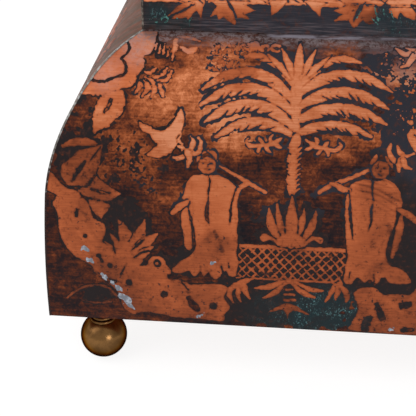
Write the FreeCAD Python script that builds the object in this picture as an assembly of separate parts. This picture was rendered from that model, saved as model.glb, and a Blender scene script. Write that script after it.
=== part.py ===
import FreeCAD, Part
import math
import os

# Copper document and keepsake box with bombe walls, a folded hipped lid on a
# rear hinge, and four turned brass ball feet.
# Millimetres. +X is the viewer's right, +Y the back, +Z up. The origin is on
# the table under the middle of the box.

V = FreeCAD.Vector
RIGHTWARDS = V(1, 0, 0)
BACKWARDS = V(0, 1, 0)
UPWARDS = V(0, 0, 1)
ORIGIN = V(0, 0, 0)
QUARTER_TURN = 90.0

# Box, over its belly
case_width = 316.0
case_depth = 264.0
sheet = 1.0

# Wall section, from the bottom edge up: a short upright foot, then three
# tangent arcs that lean in more and more. The angles are from the vertical.
wall_foot_height = 5.0
belly_radius = 980.0
belly_angle = 4.9
shoulder_radius = 130.0
shoulder_angle = 40.8
crown_radius = 62.0
lid_inset = 60.0

# Solder in the mitres
seam_width = 1.6
seam_proud = 0.15
seam_inside = 0.5

# Lid: upright skirt, crease, convex hipped roof and flat top plate
lid_gap = 0.3
skirt_height = 17.5
crease_radius = 2.5
crease_angle = 60.0
roof_radius = 130.0
top_plate_depth_share = 1 / 3

# Collar inside the skirt
collar_gap = 1.2
collar_rise = 13.0
collar_drop = 5.0

# Feet
foot_diameter = 32.0
foot_flat_diameter = 9.0
foot_collar_diameter = 17.2
foot_bead_diameter = 14.6
foot_ring_height = 2.2
foot_neck_diameter = 12.6
foot_seat_diameter = 17.0
foot_seat_height = 1.4
foot_neck_height = 9.0
foot_from_side = 32.5
foot_from_front = 16.0

# Floor of the box
board_thickness = 10.0
board_gap = 0.5
felt_thickness = 1.5
felt_gap = 1.0

# Foot fasteners
stud_diameter = 6.0
stud_depth = 14.0
stud_over_nut = 0.6
washer_diameter = 13.0
washer_thickness = 1.0
nut_across_flats = 10.0
nut_height = 4.0
fastener_hole_gap = 0.4
counterbore_gap = 1.0

# Finial on the lid
finial_diameter = 20.0
finial_neck_diameter = 7.0
finial_neck_height = 3.0
finial_flange_diameter = 16.0
finial_flange_height = 1.6
finial_stud_diameter = 5.0
finial_stud_depth = 8.0
finial_washer_diameter = 12.0
finial_nut_across_flats = 8.0
finial_nut_height = 3.2

# Piano hinge at the back
hinge_length = 150.0
hinge_knuckles = 10
barrel_radius = 2.5
hinge_pin_radius = 1.0
hinge_running_gap = 0.05
hinge_body_gap = 0.3
knuckle_gap = 0.3
leaf_thickness = 0.8
leaf_width = 13.0
rivet_count = 5
rivet_end_distance = 15.0
rivet_radius = 1.1
rivet_head_radius = 2.2
rivet_head_height = 1.0
rivet_set_height = 0.6
rivet_from_edge = 4.0

# How far a cutting tool runs past what it cuts
overrun = 5.0

half_width = case_width / 2
half_depth = case_depth / 2
half_seam = seam_width / 2
base_height = foot_diameter / 2 + foot_neck_height
base_height += math.sqrt(foot_diameter ** 2 - foot_flat_diameter ** 2) / 2


def box_between(low, high):
    """An upright block between two corners."""
    size = high - low
    return Part.makeBox(size.x, size.y, size.z, low)


def centred_block(size_x, size_y, low_z, high_z):
    """A block centred over the origin."""
    corner = V(size_x / 2, size_y / 2, 0)
    return box_between(V(0, 0, low_z) - corner, V(0, 0, high_z) + corner)


def upright_rod(x, y, radius, low_z, high_z):
    """A vertical cylinder."""
    return Part.makeCylinder(radius, high_z - low_z, V(x, y, low_z), UPWARDS)


def turned(outline):
    """A solid of revolution about Z from (radius, height) edges."""
    face = Part.Face(Part.Wire(outline))
    return face.revolve(ORIGIN, UPWARDS, QUARTER_TURN * 4)


def drilled(body, fasteners):
    """The body with the room that its fasteners take cut away."""
    for fastener in fasteners:
        body = body.cut(fastener)
    return body.Solids[0]


def save(name, shape):
    """Write one sub-part under its node name."""
    shape.exportStep("parts/" + name + ".step")


class BentLine:
    """A sheet's section line in (inset, height): upright, then tangent arcs.

    arcs holds (radius, end angle from the vertical). The last arc has only a
    radius and runs to a given inset. Every arc bends the sheet inwards, so a
    line that lies deeper in the sheet keeps the centres with smaller radii.
    """

    def __init__(self, upright, arcs, last_radius):
        self.upright = upright
        self.spans = []
        inset = 0.0
        height = upright
        angle = 0.0
        for radius, end_degrees in arcs:
            end = math.radians(end_degrees)
            centre_inset = inset + radius * math.cos(angle)
            centre_height = height - radius * math.sin(angle)
            self.spans.append((centre_inset, centre_height, radius, angle, end))
            inset = centre_inset - radius * math.cos(end)
            height = centre_height + radius * math.sin(end)
            angle = end
        self.last_radius = last_radius
        self.last_angle = angle
        self.last_inset = inset + last_radius * math.cos(angle)
        self.last_height = height - last_radius * math.sin(angle)

    def last_angle_at(self, inset, depth):
        """Angle on the last arc, depth inside the sheet's face, at an inset."""
        radius = self.last_radius - depth
        return math.acos((self.last_inset - inset) / radius)

    def last_point(self, angle, depth):
        """(inset, height) on the last arc."""
        radius = self.last_radius - depth
        return (self.last_inset - radius * math.cos(angle),
                self.last_height + radius * math.sin(angle))

    def height_at(self, inset, depth):
        """Height of the last arc at an inset."""
        return self.last_point(self.last_angle_at(inset, depth), depth)[1]

    def edges(self, depth, end_inset):
        """The line's edges, and its two end points, depth inside the face."""
        start = (depth, 0.0)
        turn = (depth, self.upright)
        made = [Part.LineSegment(section_point(start), section_point(turn)).toShape()]
        last = (self.last_inset, self.last_height, self.last_radius, self.last_angle,
                self.last_angle_at(end_inset, depth))
        end = turn
        for centre_inset, centre_height, radius, angle_from, angle_to in self.spans + [last]:
            stops = []
            for angle in (angle_from, (angle_from + angle_to) / 2, angle_to):
                stops.append((centre_inset - (radius - depth) * math.cos(angle),
                              centre_height + (radius - depth) * math.sin(angle)))
            begin, middle, end = [section_point(stop) for stop in stops]
            made.append(Part.Arc(begin, middle, end).toShape())
            end = stops[-1]
        return made, start, end


def section_point(pair):
    """(inset, height) as a point of a section drawn in the YZ plane."""
    return V(0, pair[0], pair[1])


def bent_section(line, outer_depth, inner_depth, end_inset):
    """The face between two depths of a bent sheet, ended by an upright cut."""
    outer, outer_start, outer_end = line.edges(outer_depth, end_inset)
    inner, inner_start, inner_end = line.edges(inner_depth, end_inset)
    closing = []
    for pair in ((outer_start, inner_start), (outer_end, inner_end)):
        ends = [section_point(point) for point in pair]
        closing.append(Part.LineSegment(ends[0], ends[1]).toShape())
    return Part.Face(Part.Wire(Part.__sortEdges__(outer + inner + closing)))


def front_stretch(section, half_length, half_reach, level):
    """A section run along X as a front wall whose face is at -half_reach."""
    body = section.extrude(RIGHTWARDS * half_length * 2)
    body.translate(V(-half_length, -half_reach, level))
    return body


def mitre_keeper(half_length, half_reach, gap, low_z, high_z):
    """A prism that keeps a front wall between two mitre planes, less a gap."""
    shift = gap * math.sqrt(2)
    depth = min(half_length, half_reach) - overrun
    front_x = half_length + overrun - shift
    back_x = half_length - depth - shift
    front_y = -half_reach - overrun
    back_y = depth - half_reach
    corners = [V(-front_x, front_y, low_z), V(front_x, front_y, low_z),
               V(back_x, back_y, low_z), V(-back_x, back_y, low_z)]
    base = Part.Face(Part.makePolygon(corners + corners[:1]))
    return base.extrude(UPWARDS * (high_z - low_z))


def four_walls(section, seam_section, half_x, half_y, level, top):
    """Mitred walls and the solder that fills the mitres between them."""
    walls = {}
    full = {}
    turns = {"front": 0, "right": 1, "rear": 2, "left": 3}
    for side, turn in turns.items():
        along, across = (half_x, half_y) if turn % 2 == 0 else (half_y, half_x)
        keeper = mitre_keeper(along, across, half_seam, level - overrun, top + overrun)
        wall = front_stretch(section, along, across, level).common(keeper)
        whole = mitre_keeper(along, across, 0, level - overrun, top + overrun)
        bead = front_stretch(seam_section, along + seam_proud, across, level).common(whole)
        for shape in (wall, bead):
            shape.rotate(ORIGIN, UPWARDS, QUARTER_TURN * turn)
        walls[side] = wall.Solids[0]
        full[side] = bead
    seams = {}
    corners = {"front_left": ("front", "left", -1, -1), "front_right": ("front", "right", 1, -1),
               "rear_left": ("rear", "left", -1, 1), "rear_right": ("rear", "right", 1, 1)}
    for corner, (one, other, sign_x, sign_y) in corners.items():
        reach = max(half_x, half_y)
        slab = Part.makeBox(reach, seam_width, top - level + overrun * 2,
                            V(-overrun, -half_seam, level - overrun))
        slab.rotate(ORIGIN, UPWARDS, math.degrees(math.atan2(-sign_y, -sign_x)))
        slab.translate(V(sign_x * half_x, sign_y * half_y, 0))
        seam = full[one].common(slab).fuse(full[other].common(slab))
        seams[corner] = seam.removeSplitter().Solids[0]
    return walls, seams


case_line = BentLine(wall_foot_height,
                     [(belly_radius, belly_angle), (shoulder_radius, shoulder_angle)],
                     crown_radius)
lid_line = BentLine(skirt_height, [(crease_radius, crease_angle)], roof_radius)

# The neck, where skirt, collar and shoulder meet
skirt_inner_inset = lid_inset + sheet
collar_inset = skirt_inner_inset + collar_gap
collar_seat_z = base_height + case_line.height_at(collar_inset, 0)
skirt_bottom_z = base_height + case_line.height_at(skirt_inner_inset, 0) + lid_gap
lid_half_width = half_width - lid_inset
lid_half_depth = half_depth - lid_inset
roof_width = lid_half_depth * (1 - top_plate_depth_share)
roof_top_z = skirt_bottom_z + lid_line.height_at(roof_width, 0)

# The hinge line clears the skirt and the shoulder by the same gap
hinge_offset = barrel_radius + hinge_body_gap
hinge_y = lid_half_depth + hinge_offset
hinge_angle = case_line.last_angle_at(lid_inset - hinge_offset, -hinge_offset)
hinge_z = base_height + case_line.last_point(hinge_angle, -hinge_offset)[1]
knuckle_length = hinge_length / hinge_knuckles

# Levels of the floor, from the base plate up
board_z = base_height + sheet
board_top_z = board_z + board_thickness
stud_top_z = board_top_z - stud_over_nut
counterbore_z = stud_top_z - stud_over_nut - nut_height - washer_thickness


def foot_places():
    """Names and places of the feet."""
    places = {}
    for end, sign_y in (("front", -1), ("rear", 1)):
        for side, sign_x in (("left", -1), ("right", 1)):
            places[end + "_" + side] = (sign_x * (half_width - foot_from_side),
                                        sign_y * (half_depth - foot_from_front))
    return places


def rivet_places():
    """Positions of the hinge rivets along the hinge."""
    first = rivet_end_distance - hinge_length / 2
    step = (hinge_length - rivet_end_distance * 2) / (rivet_count - 1)
    return [first + step * index for index in range(rivet_count)]


def knuckle_spans(owner):
    """Start and end of each knuckle of one leaf: owner 0 case, 1 lid."""
    spans = []
    for index in range(owner, hinge_knuckles, 2):
        start = index * knuckle_length - hinge_length / 2
        spans.append((start + knuckle_gap / 2, start + knuckle_length - knuckle_gap / 2))
    return spans


def base_plate():
    """Bottom sheet with an upturned flange soldered inside the walls."""
    outer_x = case_width - sheet * 2
    outer_y = case_depth - sheet * 2
    plate = centred_block(outer_x, outer_y, base_height, base_height + wall_foot_height)
    hollow = centred_block(outer_x - sheet * 2, outer_y - sheet * 2, board_z,
                           board_z + wall_foot_height)
    plate = plate.cut(hollow)
    for x, y in foot_places().values():
        plate = plate.cut(upright_rod(x, y, stud_diameter / 2 + fastener_hole_gap / 2,
                                      base_height - overrun, board_z + overrun))
    return plate


def base_board():
    """Wooden board that stiffens the floor, counterbored for the foot nuts."""
    inset = sheet * 2 + board_gap
    board = centred_block(case_width - inset * 2, case_depth - inset * 2, board_z, board_top_z)
    for x, y in foot_places().values():
        hole = upright_rod(x, y, stud_diameter / 2 + fastener_hole_gap / 2,
                           board_z - overrun, board_top_z)
        counterbore = upright_rod(x, y, washer_diameter / 2 + counterbore_gap / 2,
                                  counterbore_z, board_top_z + overrun)
        board = board.cut(hole).cut(counterbore)
    return board


def floor_felt():
    """Felt laid on the board."""
    inset = sheet * 2 + felt_gap
    return centred_block(case_width - inset * 2, case_depth - inset * 2,
                         board_top_z, board_top_z + felt_thickness)


def neck_collar():
    """Upright strip round the mouth that the lid's skirt drops over."""
    outer_x = case_width - collar_inset * 2
    outer_y = case_depth - collar_inset * 2
    low = collar_seat_z - collar_drop
    high = collar_seat_z + collar_rise
    ring = centred_block(outer_x, outer_y, low, high)
    mouth = centred_block(outer_x - sheet * 2, outer_y - sheet * 2, low - overrun, high + overrun)
    return ring.cut(mouth)


def bead(radius, low_z, high_z):
    """A half-round bead in a turned outline."""
    bulge = (high_z - low_z) / 4
    return Part.Arc(V(radius, 0, low_z), V(radius + bulge, 0, (low_z + high_z) / 2),
                    V(radius, 0, high_z)).toShape()


def foot(x, y):
    """Turned brass ball with a small flat, two beads, a neck and a seat."""
    ball = foot_diameter / 2
    flat = foot_flat_diameter / 2
    collar = foot_collar_diameter / 2
    ring = foot_bead_diameter / 2
    neck = foot_neck_diameter / 2
    seat = foot_seat_diameter / 2
    centre_z = math.sqrt(ball ** 2 - flat ** 2)
    collar_z = centre_z + math.sqrt(ball ** 2 - collar ** 2)
    ring_z = collar_z + foot_ring_height
    neck_z_low = ring_z + foot_ring_height
    seat_z = base_height - foot_seat_height
    corners = [(V(0, 0, 0), V(flat, 0, 0)),
               (V(collar, 0, ring_z), V(ring, 0, ring_z)),
               (V(ring, 0, neck_z_low), V(neck, 0, neck_z_low)),
               (V(neck, 0, neck_z_low), V(neck, 0, seat_z)),
               (V(neck, 0, seat_z), V(seat, 0, seat_z)),
               (V(seat, 0, seat_z), V(seat, 0, base_height)),
               (V(seat, 0, base_height), V(0, 0, base_height)),
               (V(0, 0, base_height), V(0, 0, 0))]
    outline = [Part.LineSegment(start, end).toShape() for start, end in corners]
    outline.append(Part.Arc(V(flat, 0, 0), V(ball, 0, centre_z), V(collar, 0, collar_z)).toShape())
    outline.append(bead(collar, collar_z, ring_z))
    outline.append(bead(ring, ring_z, neck_z_low))
    body = turned(Part.__sortEdges__(outline))
    body = body.cut(upright_rod(0, 0, stud_diameter / 2, base_height - stud_depth,
                                base_height + overrun))
    body.translate(V(x, y, 0))
    return body


def hexagon_nut(x, y, across_flats, bore_radius, low_z, height):
    """A plain hexagon nut."""
    corner = across_flats / math.sqrt(3)
    points = []
    for step in range(7):
        turn = math.radians(QUARTER_TURN * 4 * step / 6)
        points.append(V(x + corner * math.cos(turn), y + corner * math.sin(turn), low_z))
    blank = Part.Face(Part.makePolygon(points)).extrude(UPWARDS * height)
    return blank.cut(upright_rod(x, y, bore_radius, low_z - overrun, low_z + height + overrun))


def washer(x, y, radius, bore_radius, low_z):
    """A flat washer."""
    disc = upright_rod(x, y, radius, low_z, low_z + washer_thickness)
    return disc.cut(upright_rod(x, y, bore_radius, low_z - overrun,
                                low_z + washer_thickness + overrun))


def foot_fasteners():
    """Studs, washers and nuts that hold the feet to the floor."""
    studs = []
    washers = []
    nuts = []
    radius = stud_diameter / 2
    nut_z = counterbore_z + washer_thickness
    for x, y in foot_places().values():
        studs.append(upright_rod(x, y, radius, base_height - stud_depth, stud_top_z))
        washers.append(washer(x, y, washer_diameter / 2, radius, counterbore_z))
        nuts.append(hexagon_nut(x, y, nut_across_flats, radius, nut_z, nut_height))
    return studs, washers, nuts


def hinge_section_circle(radius, span):
    """A rod along the hinge line over one span."""
    start, end = span
    return Part.makeCylinder(radius, end - start, V(start, hinge_y, hinge_z), RIGHTWARDS)


def rear_point(angle, depth):
    """A point over the crown arc of the rear wall, in the YZ plane."""
    inset, height = case_line.last_point(angle, depth)
    return V(0, half_depth - inset, base_height + height)


def curved_leaf(angle_from, angle_to, span):
    """The part of the case leaf between two angles of the crown arc."""
    middle = (angle_from + angle_to) / 2
    rows = []
    for depth in (0, -leaf_thickness):
        rows.append([rear_point(angle, depth) for angle in (angle_from, middle, angle_to)])
    edges = [Part.Arc(rows[0][0], rows[0][1], rows[0][2]).toShape(),
             Part.LineSegment(rows[0][2], rows[1][2]).toShape(),
             Part.Arc(rows[1][2], rows[1][1], rows[1][0]).toShape(),
             Part.LineSegment(rows[1][0], rows[0][0]).toShape()]
    leaf = Part.Face(Part.Wire(edges)).extrude(RIGHTWARDS * (span[1] - span[0]))
    leaf.translate(RIGHTWARDS * span[0])
    return leaf


def full_hinge_span():
    """The whole length of the hinge."""
    return -hinge_length / 2, hinge_length / 2


def case_leaf_low_angle():
    """Angle on the crown arc where the case leaf ends."""
    return hinge_angle - leaf_width / crown_radius


def knuckled(leaf, owner, bore_radius):
    """A leaf with its own knuckles added and the other leaf's cleared."""
    for start, end in knuckle_spans(1 - owner):
        span = (start - knuckle_gap, end + knuckle_gap)
        leaf = leaf.cut(hinge_section_circle(hinge_offset, span))
    for span in knuckle_spans(owner):
        leaf = leaf.fuse(hinge_section_circle(barrel_radius, span))
    return leaf.cut(hinge_section_circle(bore_radius, full_hinge_span()))


def hinge_case_leaf(rivets):
    """Leaf formed to the rear shoulder, with every other knuckle."""
    leaf = curved_leaf(case_leaf_low_angle(), hinge_angle, full_hinge_span())
    return drilled(knuckled(leaf, 0, hinge_pin_radius), rivets)


def hinge_lid_leaf(rivets):
    """Flat leaf on the rear of the skirt, with the other knuckles."""
    leaf = box_between(V(-hinge_length / 2, lid_half_depth, hinge_z),
                       V(hinge_length / 2, lid_half_depth + leaf_thickness, hinge_z + leaf_width))
    return drilled(knuckled(leaf, 1, hinge_pin_radius + hinge_running_gap), rivets)


def rivet(seat, outward, grip):
    """A round-headed rivet whose head bears on seat and whose shank runs inwards."""
    shank = Part.makeCylinder(rivet_radius, grip, seat, outward * -1)
    cap_radius = (rivet_head_radius ** 2 + rivet_head_height ** 2) / (rivet_head_height * 2)
    ball = Part.makeSphere(cap_radius, seat + outward * (rivet_head_height - cap_radius))
    keeper = Part.makeCylinder(cap_radius, cap_radius, seat, outward)
    set_end = Part.makeCylinder(rivet_head_radius, rivet_set_height,
                                seat - outward * grip, outward * -1)
    return shank.fuse(ball.common(keeper)).fuse(set_end).removeSplitter().Solids[0]


def case_rivets():
    """Rivets through the case leaf and the rear shoulder."""
    angle = case_leaf_low_angle() + rivet_from_edge / crown_radius
    outward = V(0, math.cos(angle), math.sin(angle))
    made = []
    for x in rivet_places():
        seat = rear_point(angle, -leaf_thickness) + RIGHTWARDS * x
        made.append(rivet(seat, outward, leaf_thickness + sheet))
    return made


def lid_rivets():
    """Rivets through the lid leaf and the rear skirt."""
    height = hinge_z + leaf_width - rivet_from_edge
    made = []
    for x in rivet_places():
        seat = V(x, lid_half_depth + leaf_thickness, height)
        made.append(rivet(seat, BACKWARDS, leaf_thickness + sheet))
    return made


def lid_top_plate():
    """Flat sheet that closes the roof, drilled for the finial."""
    reach_x = (lid_half_width - roof_width) * 2
    reach_y = (lid_half_depth - roof_width) * 2
    plate = centred_block(reach_x, reach_y, roof_top_z - sheet, roof_top_z)
    return plate.cut(upright_rod(0, 0, finial_stud_diameter / 2 + fastener_hole_gap / 2,
                                 roof_top_z - overrun, roof_top_z + overrun))


def finial():
    """Turned brass knob: flange, waisted neck and ball."""
    ball = finial_diameter / 2
    neck = finial_neck_diameter / 2
    flange = finial_flange_diameter / 2
    flange_z = roof_top_z + finial_flange_height
    neck_top_z = flange_z + finial_neck_height
    centre_z = neck_top_z + math.sqrt(ball ** 2 - neck ** 2)
    top_z = centre_z + ball
    waist = neck - finial_neck_height / 4
    outline = [Part.LineSegment(V(0, 0, roof_top_z), V(flange, 0, roof_top_z)).toShape(),
               Part.LineSegment(V(flange, 0, roof_top_z), V(flange, 0, flange_z)).toShape(),
               Part.LineSegment(V(flange, 0, flange_z), V(neck, 0, flange_z)).toShape(),
               Part.Arc(V(neck, 0, flange_z), V(waist, 0, (flange_z + neck_top_z) / 2),
                        V(neck, 0, neck_top_z)).toShape(),
               Part.Arc(V(neck, 0, neck_top_z), V(ball, 0, centre_z), V(0, 0, top_z)).toShape(),
               Part.LineSegment(V(0, 0, top_z), V(0, 0, roof_top_z)).toShape()]
    knob = turned(outline)
    return knob.cut(upright_rod(0, 0, finial_stud_diameter / 2, roof_top_z - overrun,
                                roof_top_z + finial_stud_depth))


def finial_fasteners():
    """Stud, washer and nut under the top plate."""
    radius = finial_stud_diameter / 2
    washer_z = roof_top_z - sheet - washer_thickness
    nut_z = washer_z - finial_nut_height
    stud = upright_rod(0, 0, radius, nut_z - stud_over_nut, roof_top_z + finial_stud_depth)
    ring = washer(0, 0, finial_washer_diameter / 2, radius, washer_z)
    nut = hexagon_nut(0, 0, finial_nut_across_flats, radius, nut_z, finial_nut_height)
    return stud, ring, nut


def floor_and_collar_space():
    """Where the solder leaves room for the base plate and the collar."""
    floor = centred_block(case_width - sheet * 2, case_depth - sheet * 2,
                          base_height - overrun, board_top_z + felt_thickness)
    mouth = centred_block(case_width - collar_inset * 2, case_depth - collar_inset * 2,
                          collar_seat_z - collar_drop - lid_gap, collar_seat_z + overrun)
    return floor.fuse(mouth)


def build_case():
    """The fixed body: walls, seams, floor, collar and feet."""
    walls, seams = four_walls(bent_section(case_line, 0, sheet, collar_inset),
                              bent_section(case_line, -seam_proud, sheet + seam_inside,
                                           collar_inset),
                              half_width, half_depth, base_height, collar_seat_z)
    rivets = case_rivets()
    walls["rear"] = drilled(walls["rear"], rivets)
    for side, wall in walls.items():
        save(side + "_panel", wall)
    for corner, seam in seams.items():
        save("seam_" + corner, seam.cut(floor_and_collar_space()).Solids[0])
    save("base_plate", base_plate())
    save("base_board", base_board())
    save("floor_felt", floor_felt())
    save("neck_collar", neck_collar())
    for name, (x, y) in foot_places().items():
        save("foot_" + name, foot(x, y))
    studs, washers, nuts = foot_fasteners()
    save("foot_studs", Part.makeCompound(studs))
    save("foot_washers", Part.makeCompound(washers))
    save("foot_nuts", Part.makeCompound(nuts))
    save("hinge_case_leaf", hinge_case_leaf(rivets))
    save("hinge_case_rivets", Part.makeCompound(rivets))
    save("hinge_pin", hinge_section_circle(hinge_pin_radius, full_hinge_span()))


def build_lid():
    """The moving body: folded panels, seams, top plate, finial and lid leaf."""
    walls, seams = four_walls(bent_section(lid_line, 0, sheet, roof_width),
                              bent_section(lid_line, -seam_proud, sheet, roof_width),
                              lid_half_width, lid_half_depth, skirt_bottom_z, roof_top_z)
    rivets = lid_rivets()
    walls["rear"] = drilled(walls["rear"], rivets)
    for side, wall in walls.items():
        save("lid_" + side + "_panel", wall)
    for corner, seam in seams.items():
        save("lid_seam_" + corner, seam)
    save("lid_top_plate", lid_top_plate())
    save("finial", finial())
    stud, ring, nut = finial_fasteners()
    save("finial_stud", stud)
    save("finial_washer", ring)
    save("finial_nut", nut)
    save("hinge_lid_leaf", hinge_lid_leaf(rivets))
    save("hinge_lid_rivets", Part.makeCompound(rivets))


os.makedirs("parts", exist_ok=True)
build_case()
build_lid()
print("hinge line y", round(hinge_y, 3), "z", round(hinge_z, 3))
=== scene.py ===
import math

import bpy
import numpy as np
from mathutils import Matrix, Vector

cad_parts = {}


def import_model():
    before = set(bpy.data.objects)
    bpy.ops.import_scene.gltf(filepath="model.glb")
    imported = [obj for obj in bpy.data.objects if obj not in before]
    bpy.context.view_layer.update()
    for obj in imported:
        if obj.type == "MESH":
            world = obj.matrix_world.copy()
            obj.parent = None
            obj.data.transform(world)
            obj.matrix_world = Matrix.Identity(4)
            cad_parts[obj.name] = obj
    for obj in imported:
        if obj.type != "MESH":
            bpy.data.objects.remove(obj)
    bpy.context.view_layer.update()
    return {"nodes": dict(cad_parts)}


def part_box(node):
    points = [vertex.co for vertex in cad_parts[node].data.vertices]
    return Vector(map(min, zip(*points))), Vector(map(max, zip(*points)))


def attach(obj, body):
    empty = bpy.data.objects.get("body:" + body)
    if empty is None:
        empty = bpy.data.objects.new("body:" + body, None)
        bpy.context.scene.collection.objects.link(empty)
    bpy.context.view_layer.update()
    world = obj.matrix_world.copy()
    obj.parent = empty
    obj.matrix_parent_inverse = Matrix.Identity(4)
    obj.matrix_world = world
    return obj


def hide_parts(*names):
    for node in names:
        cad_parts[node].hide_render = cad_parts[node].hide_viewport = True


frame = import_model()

# Sizes in millimetres. The radii and bends of the sheets are those of the part's source.
MM = 0.001
WALL_STRAIGHT = 5.0
WALL_ARCS = ((980.0, 4.9), (130.0, 40.8), (62.0, 88.0))
NECK_INSET = 59.6
SKIRT_HEIGHT = 17.5
LID_ARCS = ((2.5, 60.0), (130.0, 88.0))
ROOF_INSET = 47.6


def low_corner(node):
    return [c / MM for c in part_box(node)[0]]


CASE_BASE = low_corner("front_panel")[2]
CASE_HALF_WIDTH = -low_corner("left_panel")[0]
CASE_HALF_DEPTH = -low_corner("front_panel")[1]
LID_BASE = low_corner("lid_front_panel")[2]
LID_HALF_WIDTH = -low_corner("lid_left_panel")[0]
LID_HALF_DEPTH = -low_corner("lid_front_panel")[1]

# The etched layers, in millimetres: how high they stand, where they stop and how fine they are drawn.
RELIEF_LIFT = 0.10
LINE_LIFT = 0.04
PATINA_REACH = 0.70
EDGE_WOBBLE = 0.34
SMEAR_LIFT = 0.13
WALL_FOOT = -0.06
FAR = -6.0
ALL_DARK = 8.0
SEAM_MARGIN = 0.9
EDGE_MARGIN = 0.35
FINE_PITCH = 0.65
PLAIN_PITCH = 0.9
RIM = 1.0
UV_NAME = "OFBake"
BLOOM_PITCH = 0.4
BLOOM_LIFT = 0.16

# The felt, in millimetres: how far its top and outline wave, its rounded edge and the size of its faces.
FELT_WAVE = 0.3
FELT_ROUND = 1.2
FELT_DROP = 0.7
FELT_CELL = 6.0

# The camera, fitted to the photograph: a lens in pixels of its 416 wide frame, and turns in radians.
FRAME_PIXELS = 416
LENS_PIXELS = 1004.137
SENSOR_WIDTH = 36.0
CAMERA_PITCH = 0.527678
CAMERA_YAW = -0.098302
CAMERA_ROLL = -0.003733
CAMERA_PLACE = (1.2505, -663.889, 440.619)

# The floor's half side in metres and its glow, and the light of the surroundings: its way, span and ends.
FLOOR_REACH = 4.0
FLOOR_GLOW = 0.87
SKY_WAY = (-0.55, 0.10, 0.62)
SKY_SPAN = 0.8
SKY_DARK = 0.30
SKY_LIGHT = 1.0

# Each lamp: name, place and aim and side in metres, watts, colour.
LAMPS = (
    ("key", (-1.6, -0.9, 1.7), (0, 0, 0.12), 1.4, 18, (1.0, 0.97, 0.93)),
    ("front", (1.15, -1.9, 0.45), (0, 0, 0.10), 0.7, 8, (0.93, 0.95, 1.0)))


# Bent sheets

class Section:
    """The outer face of a bent sheet as an upright stretch and then arcs, in millimetres."""

    def __init__(self, straight, arcs, reach):
        self.arcs = []
        length, inset, rise, angle = straight, 0.0, straight, 0.0
        for radius, end in arcs:
            furthest = math.acos(max(-1.0, math.cos(angle) - (reach - inset) / radius))
            last = min(math.radians(end), furthest)
            self.arcs.append((length, radius, angle, inset, rise, length + radius * (last - angle)))
            inset += radius * (math.cos(angle) - math.cos(last))
            rise += radius * (math.sin(last) - math.sin(angle))
            length += radius * (last - angle)
            angle = last
        self.length = length

    def at(self, v):
        """Inset, rise and slope at the lengths v along the sheet."""
        inset, rise, slope = np.zeros_like(v), np.array(v, float), np.zeros_like(v)
        for start, radius, angle, inset_0, rise_0, end in self.arcs:
            on = v > start
            turn = angle + (np.minimum(v[on], end) - start) / radius
            inset[on] = inset_0 + radius * (math.cos(angle) - np.cos(turn))
            rise[on] = rise_0 + radius * (np.sin(turn) - math.sin(angle))
            slope[on] = turn
        return inset, rise, slope


# Each side: the way that it faces, and the way to the right as seen from outside.
SIDES = {
    "front": ((0, -1), (1, 0)), "left": ((-1, 0), (0, -1)),
    "rear": ((0, 1), (-1, 0)), "right": ((1, 0), (0, 1))}


class Panel:
    """One panel's outer face: u runs to the right as seen from outside, v up along the sheet."""

    def __init__(self, side, section, half_width, half_depth, base):
        self.outward, self.right = SIDES[side]
        along_x = side in ("front", "rear")
        self.half = half_width if along_x else half_depth
        self.reach = half_depth if along_x else half_width
        self.section, self.base = section, base

    def place(self, u, v, lift):
        inset, rise, slope = self.section.at(v)
        out = self.reach - inset + lift * np.cos(slope)
        x = u * self.right[0] + out * self.outward[0]
        y = u * self.right[1] + out * self.outward[1]
        z = self.base + rise + lift * np.sin(slope)
        return np.stack([x, y, z], 1) * MM

    def normal(self, v):
        slope = self.section.at(v)[2]
        flat = np.cos(slope)
        return np.stack([flat * self.outward[0], flat * self.outward[1], np.sin(slope)], 1)

    def direction(self, v, du, dv):
        """A direction on the sheet as a direction in space."""
        slope = self.section.at(v)[2]
        inward = dv * np.sin(slope)
        x = du * self.right[0] - inward * self.outward[0]
        y = du * self.right[1] - inward * self.outward[1]
        return np.stack([x, y, dv * np.cos(slope)], 1)


WALL = Section(WALL_STRAIGHT, WALL_ARCS, NECK_INSET)
ROOF = Section(SKIRT_HEIGHT, LID_ARCS, ROOF_INSET)


def wall(side):
    return Panel(side, WALL, CASE_HALF_WIDTH, CASE_HALF_DEPTH, CASE_BASE)


def roof(side):
    return Panel(side, ROOF, LID_HALF_WIDTH, LID_HALF_DEPTH, LID_BASE)


FRONT_WALL = wall("front")
FRONT_ROOF = roof("front")


# Node materials

def paint(red, green, blue):
    """A colour given as 0 to 255 on a screen, as the linear colour that a shader takes."""
    return tuple(((c / 255 + 0.055) / 1.055) ** 2.4 for c in (red, green, blue))


class Tree:
    """A short way to write shader nodes."""

    def __init__(self, tree):
        self.tree = tree

    def put(self, socket, value):
        if isinstance(value, bpy.types.NodeSocket):
            self.tree.links.new(value, socket)
        elif isinstance(value, (tuple, list)) and socket.type == "RGBA":
            socket.default_value = tuple(value) + (1.0,) * (4 - len(value))
        else:
            socket.default_value = value

    def fill(self, node, inputs):
        """Gives a node its inputs, by name or number. Each takes a value or another node's output."""
        for name, value in inputs.items():
            self.put(node.inputs[name], value)
        return node

    def add(self, kind, inputs):
        return self.fill(self.tree.nodes.new(kind), inputs)

    def vector(self, operation, a, b):
        node = self.add("ShaderNodeVectorMath", {0: a, 1: b})
        node.operation = operation
        return node

    def math(self, operation, a, b=0.0):
        node = self.add("ShaderNodeMath", {0: a, 1: b})
        node.operation = operation
        return node.outputs[0]

    def total(self, found, *values):
        for value in values:
            found = self.math("ADD", found, value)
        return found

    def times(self, found, *values):
        for value in values:
            found = self.math("MULTIPLY", found, value)
        return found


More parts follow.
